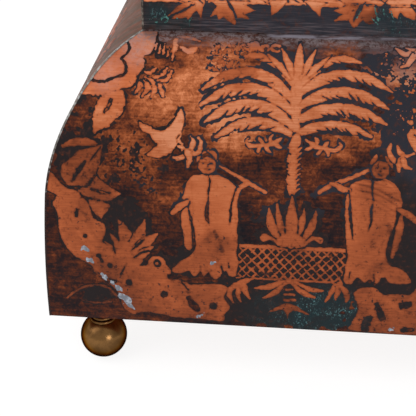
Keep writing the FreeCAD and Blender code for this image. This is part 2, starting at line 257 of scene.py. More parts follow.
class Nodes(Tree):
    """The nodes of a material, with its own coordinates in millimetres."""

    def __init__(self, name):
        self.material = bpy.data.materials.new(name)
        self.material.use_nodes = True
        super().__init__(self.material.node_tree)
        self.shader = self.tree.nodes["Principled BSDF"]
        self.place = self.tree.nodes.new("ShaderNodeTexCoord")

    def set(self, name, value):
        self.put(self.shader.inputs[name], value)

    def point(self, stretch=(1, 1, 1)):
        """Object coordinates in millimetres, times a stretch."""
        return self.vector("MULTIPLY", self.place.outputs["Object"], [s / MM for s in stretch]).outputs[0]

    def axis(self, index):
        return self.add("ShaderNodeSeparateXYZ", {0: self.point()}).outputs[index]

    def noise(self, scale, detail=3.0, roughness=0.55, distortion=0.0, stretch=(1, 1, 1)):
        """Noise from 0 to 1 with features of about 1 / scale millimetres."""
        inputs = {"Vector": self.point(stretch), "Scale": scale, "Detail": detail, "Roughness": roughness}
        inputs["Distortion"] = distortion
        return self.add("ShaderNodeTexNoise", inputs).outputs["Fac"]

    def span(self, value, low, high, to_low=0.0, to_high=1.0):
        """value, from low to high, as to_low to to_high with soft ends."""
        inputs = {"Value": value, "From Min": low, "From Max": high, "To Min": to_low, "To Max": to_high}
        node = self.add("ShaderNodeMapRange", inputs)
        node.interpolation_type = "SMOOTHSTEP"
        return node.outputs[0]

    def mix(self, share, a, b):
        node = self.tree.nodes.new("ShaderNodeMix")
        node.data_type = "RGBA"
        return self.fill(node, {0: share, 6: a, 7: b}).outputs[2]

    def ramp(self, value, stops):
        """A colour by value, from (value, colour) stops."""
        node = self.add("ShaderNodeValToRGB", {0: value})
        elements = node.color_ramp.elements
        while len(elements) < len(stops):
            elements.new(0.5)
        for element, (at, colour) in zip(elements, stops):
            element.position = at
            element.color = colour + (1.0,)
        return node.outputs[0]

    def attribute(self, name):
        node = self.tree.nodes.new("ShaderNodeAttribute")
        node.attribute_name = name
        return node.outputs["Fac"]

    def patch(self, x, z, inner, outer, share):
        """share inside a soft disc round (x, z) in millimetres, and 0 outside it."""
        away = self.vector("DISTANCE", self.point((1, 0, 1)), (x, 0, z)).outputs["Value"]
        return self.span(away, inner, outer, share, 0.0)

    def outward(self):
        """1 on a sheet's outer face and 0 on its inner one, from the object's own normal and place."""
        facing = self.vector("DOT_PRODUCT", self.place.outputs["Normal"], self.point((1, 1, 0)))
        return self.math("GREATER_THAN", facing.outputs["Value"], 0.0)

    def bump(self, height, strength, depth):
        """Dents of this depth in millimetres."""
        inputs = {"Strength": strength, "Distance": depth * MM, "Height": height}
        self.set("Normal", self.add("ShaderNodeBump", inputs).outputs[0])

    def surface(self, colour, roughness, metallic=1.0, specular=0.5):
        self.set("Base Color", colour)
        self.set("Roughness", roughness)
        self.set("Metallic", metallic)
        self.set("Specular IOR Level", specular)
        return self.material


# The etched ground's colours, by how far its patina has worn.
GROUND_STOPS = (
    (0.0, paint(25, 25, 30)), (0.18, paint(46, 31, 31)), (0.37, paint(90, 46, 31)),
    (0.58, paint(146, 76, 43)), (0.80, paint(186, 107, 67)), (1.0, paint(212, 134, 92)))

# Painted sheen colours: dark violet on the ground and pale pink on the copper.
DARK_VIOLET_SHEEN = paint(104, 88, 92)
PALE_SHEEN = paint(196, 146, 132)

# The relief's colours, by how light its copper is.
COPPER_STOPS = (
    (0.0, paint(28, 24, 28)), (0.22, paint(80, 40, 27)), (0.45, paint(130, 64, 36)),
    (0.60, paint(158, 80, 45)), (0.74, paint(181, 95, 55)), (0.86, paint(198, 113, 71)),
    (1.0, paint(222, 143, 103)))
VERDIGRIS = paint(110, 156, 158)
TEAL = paint(27, 43, 47)
# A violet grey painted sheen, up the neck and in streaks on the lid's skirt.
VIOLET_GREY_SHEEN = paint(134, 117, 120)

# Where a finish, or a painted sheen or highlight, changes, in millimetres over the table or to the right:
# from none of it to all of it. The grey bands, the lid's streaks, the rim, the blue and the neck spans are
# painted sheen and highlight; the brown shoulder and the clean seam are finishes.
SHEEN_BAND = (214.0, 219.5)
LID_SHEEN_BAND = (229.0, 221.0)
LID_SHEEN_STREAKS = (233.0, 224.0)
RIM_HIGHLIGHT_RIGHT = (-22.0, -16.0)
RIM_HIGHLIGHT_HEIGHT = (219.2, 219.9)
BROWN_SHOULDER = (140.0, 186.0)
CLEAN_SEAM = (136.0, 160.0)
BLUE_SHEEN_RIGHT = (-90.0, -40.0)
BLUE_SHEEN_HEIGHT = (110.0, 170.0)
NECK_SHEEN = (214.5, 219.0)
NECK_SHEEN_END = (221.0, 219.5)

# Where the front's ground has worn to copper: (u, v), inner and outer radius, share.
WARM_PATCHES = (
    (-68, 178, 14, 44, 0.25), (-60, 152, 12, 38, 0.26), (-34, 138, 8, 26, 0.46), (30, 136, 8, 24, 0.20),
    (-104, 138, 10, 34, 0.20), (-96, 118, 8, 24, 0.12), (44, 175, 2, 9, 0.40), (52, 174, 2, 9, 0.46),
    (61, 174, 2, 9, 0.50), (70, 172, 2, 10, 0.44), (69, 160, 6, 20, 0.32), (20, 192, 2, 10, 0.24),
    (32, 191, 2, 9, 0.24), (-30, 190, 10, 30, 0.20), (-77, 88, 8, 28, 0.20), (-68, 119, 8, 26, -0.06),
    (-86, 150, 6, 22, 0.12), (24, 84, 8, 24, -0.10), (-130, 140, 8, 26, 0.10), (-16, 98, 6, 22, 0.18),
    (14, 100, 4, 14, 0.04), (-134, 22, 6, 26, -0.05), (48, 136, 3, 14, 0.16), (-44, 178, 6, 20, 0.10))

# Where a painted violet grey sheen lies over the front's ground, in the same form.
VIOLET_SHEEN_PATCHES = (
    (46, 187, 4, 20, 0.45), (60, 184, 4, 16, 0.35), (72, 178, 6, 16, 0.30), (60, 160, 6, 24, 0.10),
    (-56, 190, 3, 12, 0.30), (10, 196, 4, 14, 0.30), (-12, 196, 3, 12, 0.30))

# Where verdigris grows on the front and on the lid's front, in the same form.
GREEN_PATCHES = ((28, 13, 13, 31, 1.0), (-6, 11, 10, 30, 0.55))
LID_GREEN_PATCHES = (
    (-88, 9, 4, 14, 0.8), (-72, 5, 2, 10, 0.6), (47, 11, 4, 16, 0.55), (64, 5, 4, 20, 0.75))

# Where a pale painted sheen lies on the front's copper, in the same form.
PALE_SHEEN_PATCHES = (
    (-118, 169, 3, 15, 0.42), (-98, 193, 5, 17, 0.60), (-70, 187, 2, 8, 0.35), (66, 190, 3, 12, 0.30),
    (72, 190, 4, 12, 0.30))


def patches(nodes, panel, places):
    """The sum of soft discs at (u, v) on a panel that faces front."""
    found = []
    for u, v, inner, outer, share in places:
        x, y, z = panel.place(np.array([u], float), np.array([v], float), 0.0)[0] / MM
        found.append(nodes.patch(x, z, inner, outer, share))
    return nodes.total(*found)


def painted_sheen_band(nodes, colour, fine, streak, band):
    """A painted sheen: mottled violet grey in upright streaks, over a band of heights."""
    share = nodes.times(nodes.span(nodes.axis(2), *band), nodes.span(streak, 0.36, 0.60, 0.42, 1.0))
    mottled = nodes.mix(nodes.span(fine, 0.42, 0.60), paint(146, 132, 134), paint(88, 62, 58))
    return nodes.mix(share, colour, mottled)


def painted_rim_highlight(nodes, colour, streak):
    """A painted highlight along the top rim of the front's neck, to the right of the palm's left fronds."""
    edge = nodes.times(nodes.span(nodes.axis(2), *RIM_HIGHLIGHT_HEIGHT), nodes.span(nodes.axis(0), *RIM_HIGHLIGHT_RIGHT))
    return nodes.mix(nodes.times(edge, nodes.span(streak, 0.34, 0.5, 0.2, 1.0)), colour, paint(168, 162, 174))


def brown_film(nodes, colour, middle, fine):
    """A matt brown film that thickens up the shoulder."""
    upright = nodes.noise(0.16, 4.0, 0.6, 0.3, stretch=(0.12, 1.0, 0.12))
    tint = nodes.mix(nodes.span(upright, 0.38, 0.62), paint(90, 66, 46), paint(122, 66, 42))
    height = nodes.total(nodes.axis(2), nodes.span(middle, 0.3, 0.7, -22, 22))
    share = nodes.times(nodes.span(height, *BROWN_SHOULDER), nodes.span(fine, 0.36, 0.60, 0.95, 0.60))
    return nodes.mix(share, colour, tint)


def etched_sheet(name, base, front=False, grey=None, brown=False, metallic=0.80, specular=0.2):
    """A wall panel: black patina that wears to copper in blots, and inside plain tarnished copper. A given
    band gets a painted grey sheen, and the front gets painted violet sheen and a painted rim highlight.
    """
    nodes = Nodes(name)
    broad = nodes.noise(0.022, 3.0, 0.6, 0.5)
    middle = nodes.noise(0.08, 4.0, 0.7, 0.8)
    fine = nodes.noise(0.38, 4.0, 0.68, 1.0)
    streak = nodes.noise(0.6, 2.0, 0.5, stretch=(0.12, 0.12, 1.2))
    level = nodes.total(base, nodes.span(broad, 0.32, 0.68, -0.10, 0.10))
    if front:
        level = nodes.total(level, patches(nodes, FRONT_WALL, WARM_PATCHES))
    blots = nodes.total(*(nodes.span(noise, 0.30, 0.70, -depth, depth)
                          for noise, depth in ((middle, 0.15), (fine, 0.12), (streak, 0.08))))
    level = nodes.total(level, nodes.times(blots, nodes.span(level, 0.15, 0.70, 0.75, 1.10)))
    colour = nodes.ramp(level, GROUND_STOPS)
    if front:
        # Painted violet sheen in patches.
        violet = patches(nodes, FRONT_WALL, VIOLET_SHEEN_PATCHES)
        colour = nodes.mix(nodes.times(violet, nodes.span(middle, 0.40, 0.58, 0.1, 1.0)), colour, DARK_VIOLET_SHEEN)
    # A painted grey sheen over the given band of heights.
    if grey:
        colour = painted_sheen_band(nodes, colour, fine, streak, grey)
    if front:
        # A painted highlight along the top rim of the neck.
        colour = painted_rim_highlight(nodes, colour, streak)
    if brown:
        colour = brown_film(nodes, colour, middle, fine)
    worn = nodes.span(nodes.noise(0.03, 4.0, 0.6), 0.35, 0.65)
    inside = nodes.mix(worn, paint(170, 104, 72), paint(132, 78, 54))
    nodes.bump(fine, 0.4, 0.12)
    colour = nodes.mix(nodes.outward(), inside, colour)
    return nodes.surface(colour, nodes.span(middle, 0.2, 0.8, 0.42, 0.60), metallic, specular)


def relief_copper(name, front=False, dim=0.0, metallic=0.80, specular=0.5):
    """The copper that the etching left: brushed, browner at rims and low down, with smudges and pin holes,
    and painted sheen: violet grey up the neck, and pale in patches on the front.
    """
    nodes = Nodes(name)
    tone = nodes.attribute("tone")
    rough = nodes.span(tone, 0.40, 0.85, 1.0, 0.35)
    rim = nodes.span(nodes.attribute("rim"), 0.0, 1.0, -0.16, 0.0)
    brush = nodes.noise(1.0, 3.0, 0.6, stretch=(0.07, 0.07, 1.3))
    broad = nodes.noise(0.05, 3.0, 0.6, 0.6)
    fine = nodes.noise(0.32, 5.0, 0.72, 0.3)
    blots = nodes.total(nodes.span(broad, 0.30, 0.68, -0.14, 0.08), nodes.span(fine, 0.50, 0.76, 0.04, -0.34))
    brushed = nodes.span(brush, 0.3, 0.7, -0.06, 0.06)
    colour = nodes.ramp(nodes.total(tone, -dim, rim, nodes.times(blots, rough), brushed), COPPER_STOPS)
    pits = nodes.times(nodes.span(nodes.noise(0.42, 1.0, 0.5), 0.70, 0.75), rough)
    colour = nodes.mix(pits, colour, paint(36, 30, 34))
    if front:
        # Pale painted sheen in patches on the front.
        share = nodes.times(patches(nodes, FRONT_WALL, PALE_SHEEN_PATCHES), nodes.span(fine, 0.36, 0.62, 0.35, 1.0))
        colour = nodes.mix(share, colour, PALE_SHEEN)
    height = nodes.axis(2)
    # A painted violet grey sheen up the neck.
    film = nodes.times(nodes.span(height, *NECK_SHEEN), nodes.span(height, *NECK_SHEEN_END))
    colour = nodes.mix(nodes.times(film, nodes.span(fine, 0.40, 0.60, 0.1, 0.75)), colour, VIOLET_GREY_SHEEN)
    nodes.bump(brush, 0.25, 0.05)
    return nodes.surface(colour, nodes.span(brush, 0.3, 0.7, 0.34, 0.48), metallic, specular)


def verdigris(nodes, colour, panel, places):
    """Teal clouds with pale specks of verdigris in soft discs on a front panel."""
    share = patches(nodes, panel, places)
    clouds = nodes.span(nodes.noise(0.09, 4.0, 0.7, 0.6), 0.38, 0.60, 0.50, 0.90)
    colour = nodes.mix(nodes.times(share, clouds), colour, TEAL)
    specks = nodes.span(nodes.noise(1.0, 3.0, 0.8, 0.0, stretch=(1.2, 1.2, 0.8)), 0.54, 0.68)
    crowds = nodes.span(nodes.noise(0.10, 3.0, 0.6), 0.44, 0.62, 0.05, 0.9)
    return nodes.mix(nodes.times(specks, crowds, share, share), colour, VERDIGRIS)


def patina_line(name, panel=None, green=(), streaks=0.0):
    """Black patina, with a painted bluish sheen high up on the right and brown elsewhere, and with verdigris
    and painted streaks of violet grey sheen.
    """
    nodes = Nodes(name)
    fine = nodes.noise(0.30, 4.0, 0.65)
    sway = nodes.span(nodes.noise(0.04, 2.0, 0.6), 0.3, 0.7, -30, 30)
    # A painted bluish sheen high up on the right.
    blue = nodes.times(nodes.span(nodes.total(nodes.axis(2), sway), *BLUE_SHEEN_HEIGHT),
                       nodes.span(nodes.total(nodes.axis(0), sway), *BLUE_SHEEN_RIGHT))
    colour = nodes.mix(blue, paint(34, 27, 28), paint(42, 42, 50))
    colour = nodes.mix(nodes.span(fine, 0.50, 0.72, 0.0, 0.65), colour, paint(84, 46, 34))
    # Painted violet grey sheen in upright streaks on the lid's skirt.
    if streaks:
        streak = nodes.span(nodes.noise(0.7, 3.0, 0.6, stretch=(0.08, 0.08, 1.5)), 0.42, 0.7)
        share = nodes.times(streak, nodes.span(nodes.axis(2), *LID_SHEEN_STREAKS, 0.1, streaks))
        colour = nodes.mix(share, colour, VIOLET_GREY_SHEEN)
    if green:
        colour = verdigris(nodes, colour, panel, green)
    nodes.bump(fine, 0.4, 0.06)
    return nodes.surface(colour, nodes.span(fine, 0.2, 0.8, 0.42, 0.60), 0.60, 0.3)


def bloom_crust(name):
    """Verdigris that has grown in thin crusts."""
    nodes = Nodes(name)
    fine = nodes.noise(0.6, 4.0, 0.7)
    colour = nodes.mix(nodes.span(fine, 0.40, 0.62), paint(40, 62, 62), paint(84, 138, 130))
    nodes.bump(fine, 0.6, 0.08)
    return nodes.surface(colour, nodes.span(fine, 0.3, 0.7, 0.75, 0.90), 0.0, 0.3)


def solder_metal(name, dull, bright, low=0.0, high=1.0):
    """Solder, which is black with patina below the height low and clean above high."""
    nodes = Nodes(name)
    fine = nodes.noise(0.35, 4.0, 0.65)
    colour = nodes.mix(nodes.span(fine, 0.44, 0.66), dull, bright)
    height = nodes.total(nodes.axis(2), nodes.span(fine, 0.3, 0.7, -14, 14))
    colour = nodes.mix(nodes.span(height, low, high), paint(52, 38, 36), colour)
    nodes.bump(fine, 0.5, 0.12)
    return nodes.surface(colour, nodes.span(fine, 0.3, 0.7, 0.46, 0.30), 0.9)


def aged_brass(name):
    nodes = Nodes(name)
    broad = nodes.noise(0.06, 4.0, 0.6, 0.5)
    fine = nodes.noise(0.9, 3.0, 0.6)
    colour = nodes.mix(nodes.span(broad, 0.35, 0.68), paint(128, 92, 54), paint(90, 64, 38))
    colour = nodes.mix(nodes.span(fine, 0.60, 0.75, 0.0, 0.5), colour, paint(56, 38, 22))
    nodes.bump(fine, 0.15, 0.03)
    nodes.set("Specular Tint", (0.05, 0.04, 0.025))
    return nodes.surface(colour, nodes.span(broad, 0.3, 0.7, 0.22, 0.34))


def plain_copper(name):
    nodes = Nodes(name)
    broad = nodes.noise(0.03, 4.0, 0.6, 0.4)
    fine = nodes.noise(0.4, 3.0, 0.6)
    colour = nodes.mix(nodes.span(broad, 0.35, 0.66), paint(176, 106, 72), paint(134, 80, 56))
    colour = nodes.mix(nodes.span(fine, 0.58, 0.72, 0.0, 0.5), colour, paint(82, 52, 42))
    nodes.bump(fine, 0.2, 0.05)
    return nodes.surface(colour, nodes.span(fine, 0.3, 0.7, 0.30, 0.46), 0.9)


def steel(name):
    nodes = Nodes(name)
    fine = nodes.noise(0.8, 3.0, 0.6)
    colour = nodes.mix(nodes.span(fine, 0.4, 0.7), paint(172, 172, 170), paint(134, 131, 128))
    return nodes.surface(colour, nodes.span(fine, 0.3, 0.7, 0.3, 0.45))


def board_wood(name):
    nodes = Nodes(name)
    grain = nodes.noise(0.12, 5.0, 0.65, 1.2, stretch=(0.08, 1.0, 1.0))
    nodes.bump(grain, 0.3, 0.15)
    colour = nodes.mix(nodes.span(grain, 0.38, 0.62), paint(160, 128, 92), paint(122, 90, 58))
    return nodes.surface(colour, nodes.span(grain, 0.3, 0.7, 0.55, 0.72), 0.0)


def felt(name):
    nodes = Nodes(name)
    fibres = nodes.noise(1.6, 4.0, 0.75, 0.8)
    broad = nodes.noise(0.03, 3.0, 0.5)
    colour = nodes.mix(nodes.span(fibres, 0.35, 0.65), paint(64, 28, 30), paint(98, 48, 46))
    colour = nodes.mix(nodes.span(broad, 0.4, 0.7, 0.0, 0.3), colour, paint(60, 30, 30))
    nodes.bump(fibres, 0.7, 0.35)
    return nodes.surface(colour, nodes.span(fibres, 0.3, 0.7, 0.85, 0.97), 0.0)


def floor_white(name):
    """Grey to the light, and white to the camera and in reflections."""
    nodes = Nodes(name)
    path = nodes.add("ShaderNodeLightPath", {})
    seen = path.outputs["Is Camera Ray"]
    for kind in ("Is Glossy Ray", "Is Transmission Ray"):
        seen = nodes.math("MAXIMUM", seen, path.outputs[kind])
    nodes.set("Emission Color", (1.0, 1.0, 1.0))
    nodes.set("Emission Strength", nodes.times(seen, FLOOR_GLOW))
    return nodes.surface((0.18, 0.18, 0.18), 0.9, 0.0, 0.1)


# Drawing

def soft_noise(u, v, cell, seed):
    """Smooth noise from -1 to 1 with one value a cell."""
    columns = int(np.ptp(u) / cell) + 3
    rows = int(np.ptp(v) / cell) + 3
    values = np.random.default_rng(seed).uniform(-1, 1, (rows, columns))
    x, y = (u - u.min()) / cell, (v - v.min()) / cell
    i, j = np.floor(y).astype(int), np.floor(x).astype(int)
    a, b = x - j, y - i
    a, b = a * a * (3 - 2 * a), b * b * (3 - 2 * b)
    low = values[i, j] * (1 - a) + values[i, j + 1] * a
    high = values[i + 1, j] * (1 - a) + values[i + 1, j + 1] * a
    return low * (1 - b) + high * b


def flowing(points, closed=False, steps=6):
    """A smooth run through points, which may carry a radius as their third number."""
    p = np.array(points, float)
    if closed:
        p = np.concatenate([p[-1:], p, p[:2]])
    else:
        p = np.concatenate([2 * p[:1] - p[1:2], p, 2 * p[-1:] - p[-2:-1]])
    found = []
    for k in range(1, len(p) - 2):
        t = np.linspace(0, 1, steps, endpoint=False)[:, None]
        a, b, c, d = p[k - 1], p[k], p[k + 1], p[k + 2]
        bent = (2 * a - 5 * b + 4 * c - d) * t ** 2 + (3 * b - a - 3 * c + d) * t ** 3
        found.append(0.5 * (2 * b + (c - a) * t + bent))
    if not closed:
        found.append(p[-2][None])
    return np.concatenate(found)


class Drawing:
    """What the etching leaves, on a grid over a panel.

    depth is a signed distance in millimetres, positive on copper. reach is how far the black patina runs
    from the copper. fuse is the share of each gap that is cut. tone is how light the copper is, as a place
    on its ramp.
    """

    def __init__(self, panel, pitch, tone=0.7):
        self.panel, self.pitch = panel, pitch
        half, length = panel.half, panel.section.length
        self.us = np.arange(-half - pitch, half + 2 * pitch, pitch)
        self.vs = np.arange(-pitch, length + 2 * pitch, pitch)
        self.u, self.v = np.meshgrid(self.us, self.vs)
        self.depth = np.full(self.u.shape, FAR)
        self.reach = np.full(self.u.shape, PATINA_REACH)
        self.fuse = np.ones(self.u.shape)
        self.tone = np.full(self.u.shape, tone)
        self.ragged = soft_noise(self.u, self.v, 9.0, 91) + 0.6 * soft_noise(self.u, self.v, 3.5, 92)

    def window(self, points, margin):
        low, high = points[:, :2].min(0) - margin, points[:, :2].max(0) + margin
        i0, i1 = np.searchsorted(self.vs, (low[1], high[1]))
        j0, j1 = np.searchsorted(self.us, (low[0], high[0]))
        return slice(i0, i1), slice(j0, j1)

    def lay(self, area, depth, gap):
        """Copper with a gap cut round it. Gap 0 joins it to the copper there, and None cuts it out."""
        here = self.depth[area]
        if gap is None:
            self.depth[area] = np.minimum(here, -depth)
        elif gap == 0:
            self.depth[area] = np.maximum(here, depth)
        else:
            share = self.fuse[area]
            cleared = np.where(share > 0.15, np.minimum(here, -(depth + gap * share)), here)
            self.depth[area] = np.maximum(cleared, depth)

    def along(self, points, smooth=True):
        """The grid round a run of varying radius, and the signed distance to that run's edge there."""
        run = flowing(points) if smooth and len(points) > 2 else np.array(points, float)
        area = self.window(run, 7 + run[:, 2].max())
        u, v = self.u[area], self.v[area]
        best = np.full(u.shape, 2 * FAR)
        for a, b in zip(run[:-1], run[1:]):
            du, dv = b[0] - a[0], b[1] - a[1]
            t = np.clip(((u - a[0]) * du + (v - a[1]) * dv) / max(du * du + dv * dv, 1e-9), 0, 1)
            away = np.hypot(u - a[0] - t * du, v - a[1] - t * dv)
            best = np.maximum(best, a[2] + (b[2] - a[2]) * t - away)
        return area, best

    def stroke(self, points, gap=0.0, smooth=True):
        """Copper along a run of varying radius."""
        self.lay(*self.along(points, smooth), gap)

    def cut(self, points):
        self.stroke(points, None)

    def shade(self, points, change):
        """A lighter or darker line on the copper."""
        area, best = self.along(points)
        self.tone[area] += change * np.clip(0.5 + best, 0, 1)

    def shape(self, points, gap=0.0, smooth=True):
        """A closed outline."""
        run = flowing(points, True, 5) if smooth else np.array(points, float)
        area = self.window(run, 7)
        u, v = self.u[area], self.v[area]
        away = np.full(u.shape, -2 * FAR)
        inside = np.zeros(u.shape, bool)
        for a, b in zip(run, np.roll(run, -1, 0)):
            du, dv = b - a
            t = np.clip(((u - a[0]) * du + (v - a[1]) * dv) / max(du * du + dv * dv, 1e-9), 0, 1)
            away = np.minimum(away, np.hypot(u - a[0] - t * du, v - a[1] - t * dv))
            if dv:
                crosses = (a[1] > v) != (b[1] > v)
                inside ^= crosses & (u < a[0] + (v - a[1]) * du / dv)
        self.lay(area, np.where(inside, away, -away), gap)

    def dot(self, u, v, radius, gap=0.0, wide=1.0):
        run = np.array([(u - radius * wide, v - radius), (u + radius * wide, v + radius)])
        area = self.window(run, 7)
        away = np.hypot((self.u[area] - u) / wide, self.v[area] - v)
        self.lay(area, radius - away, gap)

    def hole(self, u, v, radius):
        """A round hole in the copper, black inside."""
        self.dot(u, v, radius, None, 0.9)
        self.wash(self.reach, u, v, radius, radius + 2, 4.0)

    def roughen(self, u, v, inner, outer, amount, tall=1.0):
        """Eaten edges and pits inside a soft disc."""
        pitted = soft_noise(self.u, self.v, 1.5, 95) + 0.8 * soft_noise(self.u, self.v, 0.8, 96) - 0.3
        self.depth += amount * pitted * self.mask(u, v, inner, outer, tall)

    def mask(self, u, v, inner, outer, tall=1.0):
        """1 inside a soft ragged disc and 0 outside it, tall times as high as wide."""
        away = np.hypot(self.u - u, (self.v - v) / tall) + 0.16 * outer * self.ragged
        t = np.clip((outer - away) / (outer - inner), 0, 1)
        return t * t * (3 - 2 * t)

    def wash(self, field, u, v, inner, outer, value, tall=1.0):
        """Blends a field to value inside a soft disc."""
        share = self.mask(u, v, inner, outer, tall)
        field += (value - field) * share

    def washes(self, field, rows):
        for row in rows:
            self.wash(field, *row)

    def islands(self, u, v, radius, cell, bar, seed, tall=1.0, comb=1.0):
        """Ragged copper spots, more of them where bar is low, stretched upright by comb."""
        share = self.mask(u, v, radius * 0.4, radius, tall)
        spots = soft_noise(self.u, self.v / comb, cell, seed)
        spots = spots + 0.5 * soft_noise(self.u, self.v, cell * 0.5, seed + 1)
        spots = (spots + share - 1 - bar) * cell * 0.6
        self.depth = np.where(share > 0, np.maximum(self.depth, spots), self.depth)

    def finish(self, wobble, seed):
        """Hand-cut edges, and nothing past the panel's own edges."""
        self.depth = self.depth + wobble * soft_noise(self.u, self.v, 2.4, seed)
        self.depth += 0.8 * wobble * soft_noise(self.u, self.v, 1.0, seed + 1)
        inset = self.panel.section.at(self.v.ravel())[0].reshape(self.v.shape)
        side = (self.panel.half - inset - np.abs(self.u)) * math.sqrt(0.5) - SEAM_MARGIN
        ends = np.minimum(self.v - EDGE_MARGIN, self.panel.section.length - EDGE_MARGIN - self.v)
        self.edge = np.minimum(side, ends)
        self.depth = np.minimum(self.depth, self.edge)

    def patina(self, seed):
        """The black round and between the copper: positive on it."""
        broad = soft_noise(self.u, self.v, 8.0, seed) + 0.8 * soft_noise(self.u, self.v, 3.2, seed + 1)
        fine = soft_noise(self.u, self.v, 1.3, seed + 2)
        width = self.reach * np.maximum(0.35, 1 + 0.75 * broad)
        width += (0.35 + 0.3 * np.minimum(self.reach, 3.0)) * fine
        return np.minimum(np.minimum(self.depth + width, 0.3 - self.depth), self.edge + 0.2)


# Corners 0 to 3 run round a cell from its lower left. Edge k joins corner k to the next.
CORNER_STEPS = ((0, 0), (0, 1), (1, 1), (1, 0))


def cell_faces(case):
    """The inside of a cell as faces of corners ("c", k) and crossings ("e", k)."""
    inside = [bool(case >> k & 1) for k in range(4)]
    if case in (5, 10):
        return [[("e", (k + 3) % 4), ("c", k), ("e", k)] for k in range(4) if inside[k]]
    face = []
    for k in range(4):
        if inside[k]:
            face.append(("c", k))
        if inside[k] != inside[(k + 1) % 4]:
            face.append(("e", k))
    return [face]


def region(field):
    """Where the field is positive: columns, rows, faces by number of corners, and the border as pairs."""
    rows, columns = field.shape
    inside = field > 0
    case = inside[:-1, :-1] * 1 + inside[:-1, 1:] * 2 + inside[1:, 1:] * 4 + inside[1:, :-1] * 8
    count = rows * columns

    def number(token, i, j):
        kind, k = token
        if kind == "c":
            di, dj = CORNER_STEPS[k]
            return (i + di) * columns + j + dj
        if k in (0, 2):
            return count + (i + (k == 2)) * columns + j
        return 2 * count + i * columns + j + (k == 1)

    faces, border = {}, []
    for value in range(1, 16):
        i, j = np.nonzero(case == value)
        for face in cell_faces(value):
            faces.setdefault(len(face), []).append(np.stack([number(t, i, j) for t in face], 1))
            for a, b in zip(face, face[1:] + face[:1]):
                if a[0] == "e" and b[0] == "e":
                    border.append(np.stack([number(a, i, j), number(b, i, j)], 1))
    faces = {n: np.concatenate(parts) for n, parts in faces.items()}
    border = np.concatenate(border)
    used = np.unique(np.concatenate([f.ravel() for f in faces.values()]))
    kind, where = used // count, used % count
    i, j = where // columns, where % columns
    x, y = j.astype(float), i.astype(float)
    for step, (di, dj) in ((1, (0, 1)), (2, (1, 0))):
        on = kind == step
        a, b = field[i[on], j[on]], field[i[on] + di, j[on] + dj]
        t = a / (a - b)
        x[on] += t * dj
        y[on] += t * di
    faces = {n: np.searchsorted(used, f) for n, f in faces.items()}
    return x, y, faces, np.searchsorted(used, border)


def between(field, x, y):
    """The field's values at fractional columns x and rows y."""
    j = np.clip(np.floor(x).astype(int), 0, field.shape[1] - 2)
    i = np.clip(np.floor(y).astype(int), 0, field.shape[0] - 2)
    a, b = x - j, y - i
    low = field[i, j] * (1 - a) + field[i, j + 1] * a
    high = field[i + 1, j] * (1 - a) + field[i + 1, j + 1] * a
    return low * (1 - b) + high * b


def add_attribute(mesh, name, values):
    layer = mesh.attributes.new(name, "FLOAT", "POINT")
    layer.data.foreach_set("value", values.astype(np.float32))


def linked(name, data):
    """A new object of a mesh, lamp or camera in the scene."""
    made = bpy.data.objects.new(name, data)
    bpy.context.scene.collection.objects.link(made)
    return made


def smooth_piece(name, points, faces, material):
    """A new smooth mesh of one material, from points in metres."""
    mesh = bpy.data.meshes.new(name)
    mesh.from_pydata(points.tolist(), [], faces)
    mesh.polygons.foreach_set("use_smooth", np.ones(len(mesh.polygons), bool))
    mesh.materials.append(material)
    return linked(name, mesh)


def outward_on(field, x, y):
    """The direction in which the field falls, at fractional columns x and rows y."""
    dv, du = np.gradient(field)
    slope_u, slope_v = between(du, x, y), between(dv, x, y)
    size = np.maximum(np.hypot(slope_u, slope_v), 1e-9)
    return -slope_u / size, -slope_v / size


def add_map(mesh, drawing, u, v):
    """A texture map with the whole panel as its square."""
    flat = [(u - drawing.us[0]) / np.ptp(drawing.us), (v - drawing.vs[0]) / np.ptp(drawing.vs)]
    corners = np.empty(len(mesh.loops), np.int32)
    mesh.loops.foreach_get("vertex_index", corners)
    layer = mesh.uv_layers.new(name=UV_NAME)
    layer.uv.foreach_set("vector", np.stack(flat, 1)[corners].astype(np.float32).ravel())


def relief_piece(name, drawing, field, lift, material, body):
    """A thin layer on the panel where the field is positive, with walls down into the sheet."""
    panel, pitch = drawing.panel, drawing.pitch
    x, y, faces, border = region(field)
    ring, back = np.unique(border, return_inverse=True)
    back = back.reshape(border.shape)
    x, y = np.concatenate([x, x[ring], x[ring]]), np.concatenate([y, y[ring], y[ring]])
    u, v = drawing.us[0] + x * pitch, drawing.vs[0] + y * pitch
    upper, lower = len(u) - 2 * len(ring), len(u) - len(ring)
    walls = np.stack([back[:, 1] + upper, back[:, 0] + upper, back[:, 0] + lower, back[:, 1] + lower], 1)
    polygons = sum([f.tolist() for f in faces.values()], []) + walls.tolist()
    places = [panel.place(u[:lower], v[:lower], lift), panel.place(u[lower:], v[lower:], WALL_FOOT)]
    piece = smooth_piece(name, np.concatenate(places), polygons, material)
    out_u, out_v = outward_on(field, x[lower:], y[lower:])
    side = panel.direction(v[lower:], out_u, out_v)
    mesh = piece.data
    add_attribute(mesh, "rim", np.clip(between(field, x, y) / RIM, 0, 1))
    add_attribute(mesh, "tone", between(drawing.tone, x, y))
    normals = np.concatenate([panel.normal(v[:upper]), side, side])
    mesh.normals_split_custom_set_from_vertices(normals.tolist())
    u[lower:] += pitch * 0.5 * out_u
    v[lower:] += pitch * 0.5 * out_v
    add_map(mesh, drawing, u, v)
    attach(piece, body)


# Motifs, in millimetres on the panel: outlines are (u, v) points, and runs are (u, v, radius) points

def bezier(a, b, c, t):
    return tuple((1 - t) ** 2 * a[k] + 2 * t * (1 - t) * b[k] + t * t * c[k] for k in (0, 1))


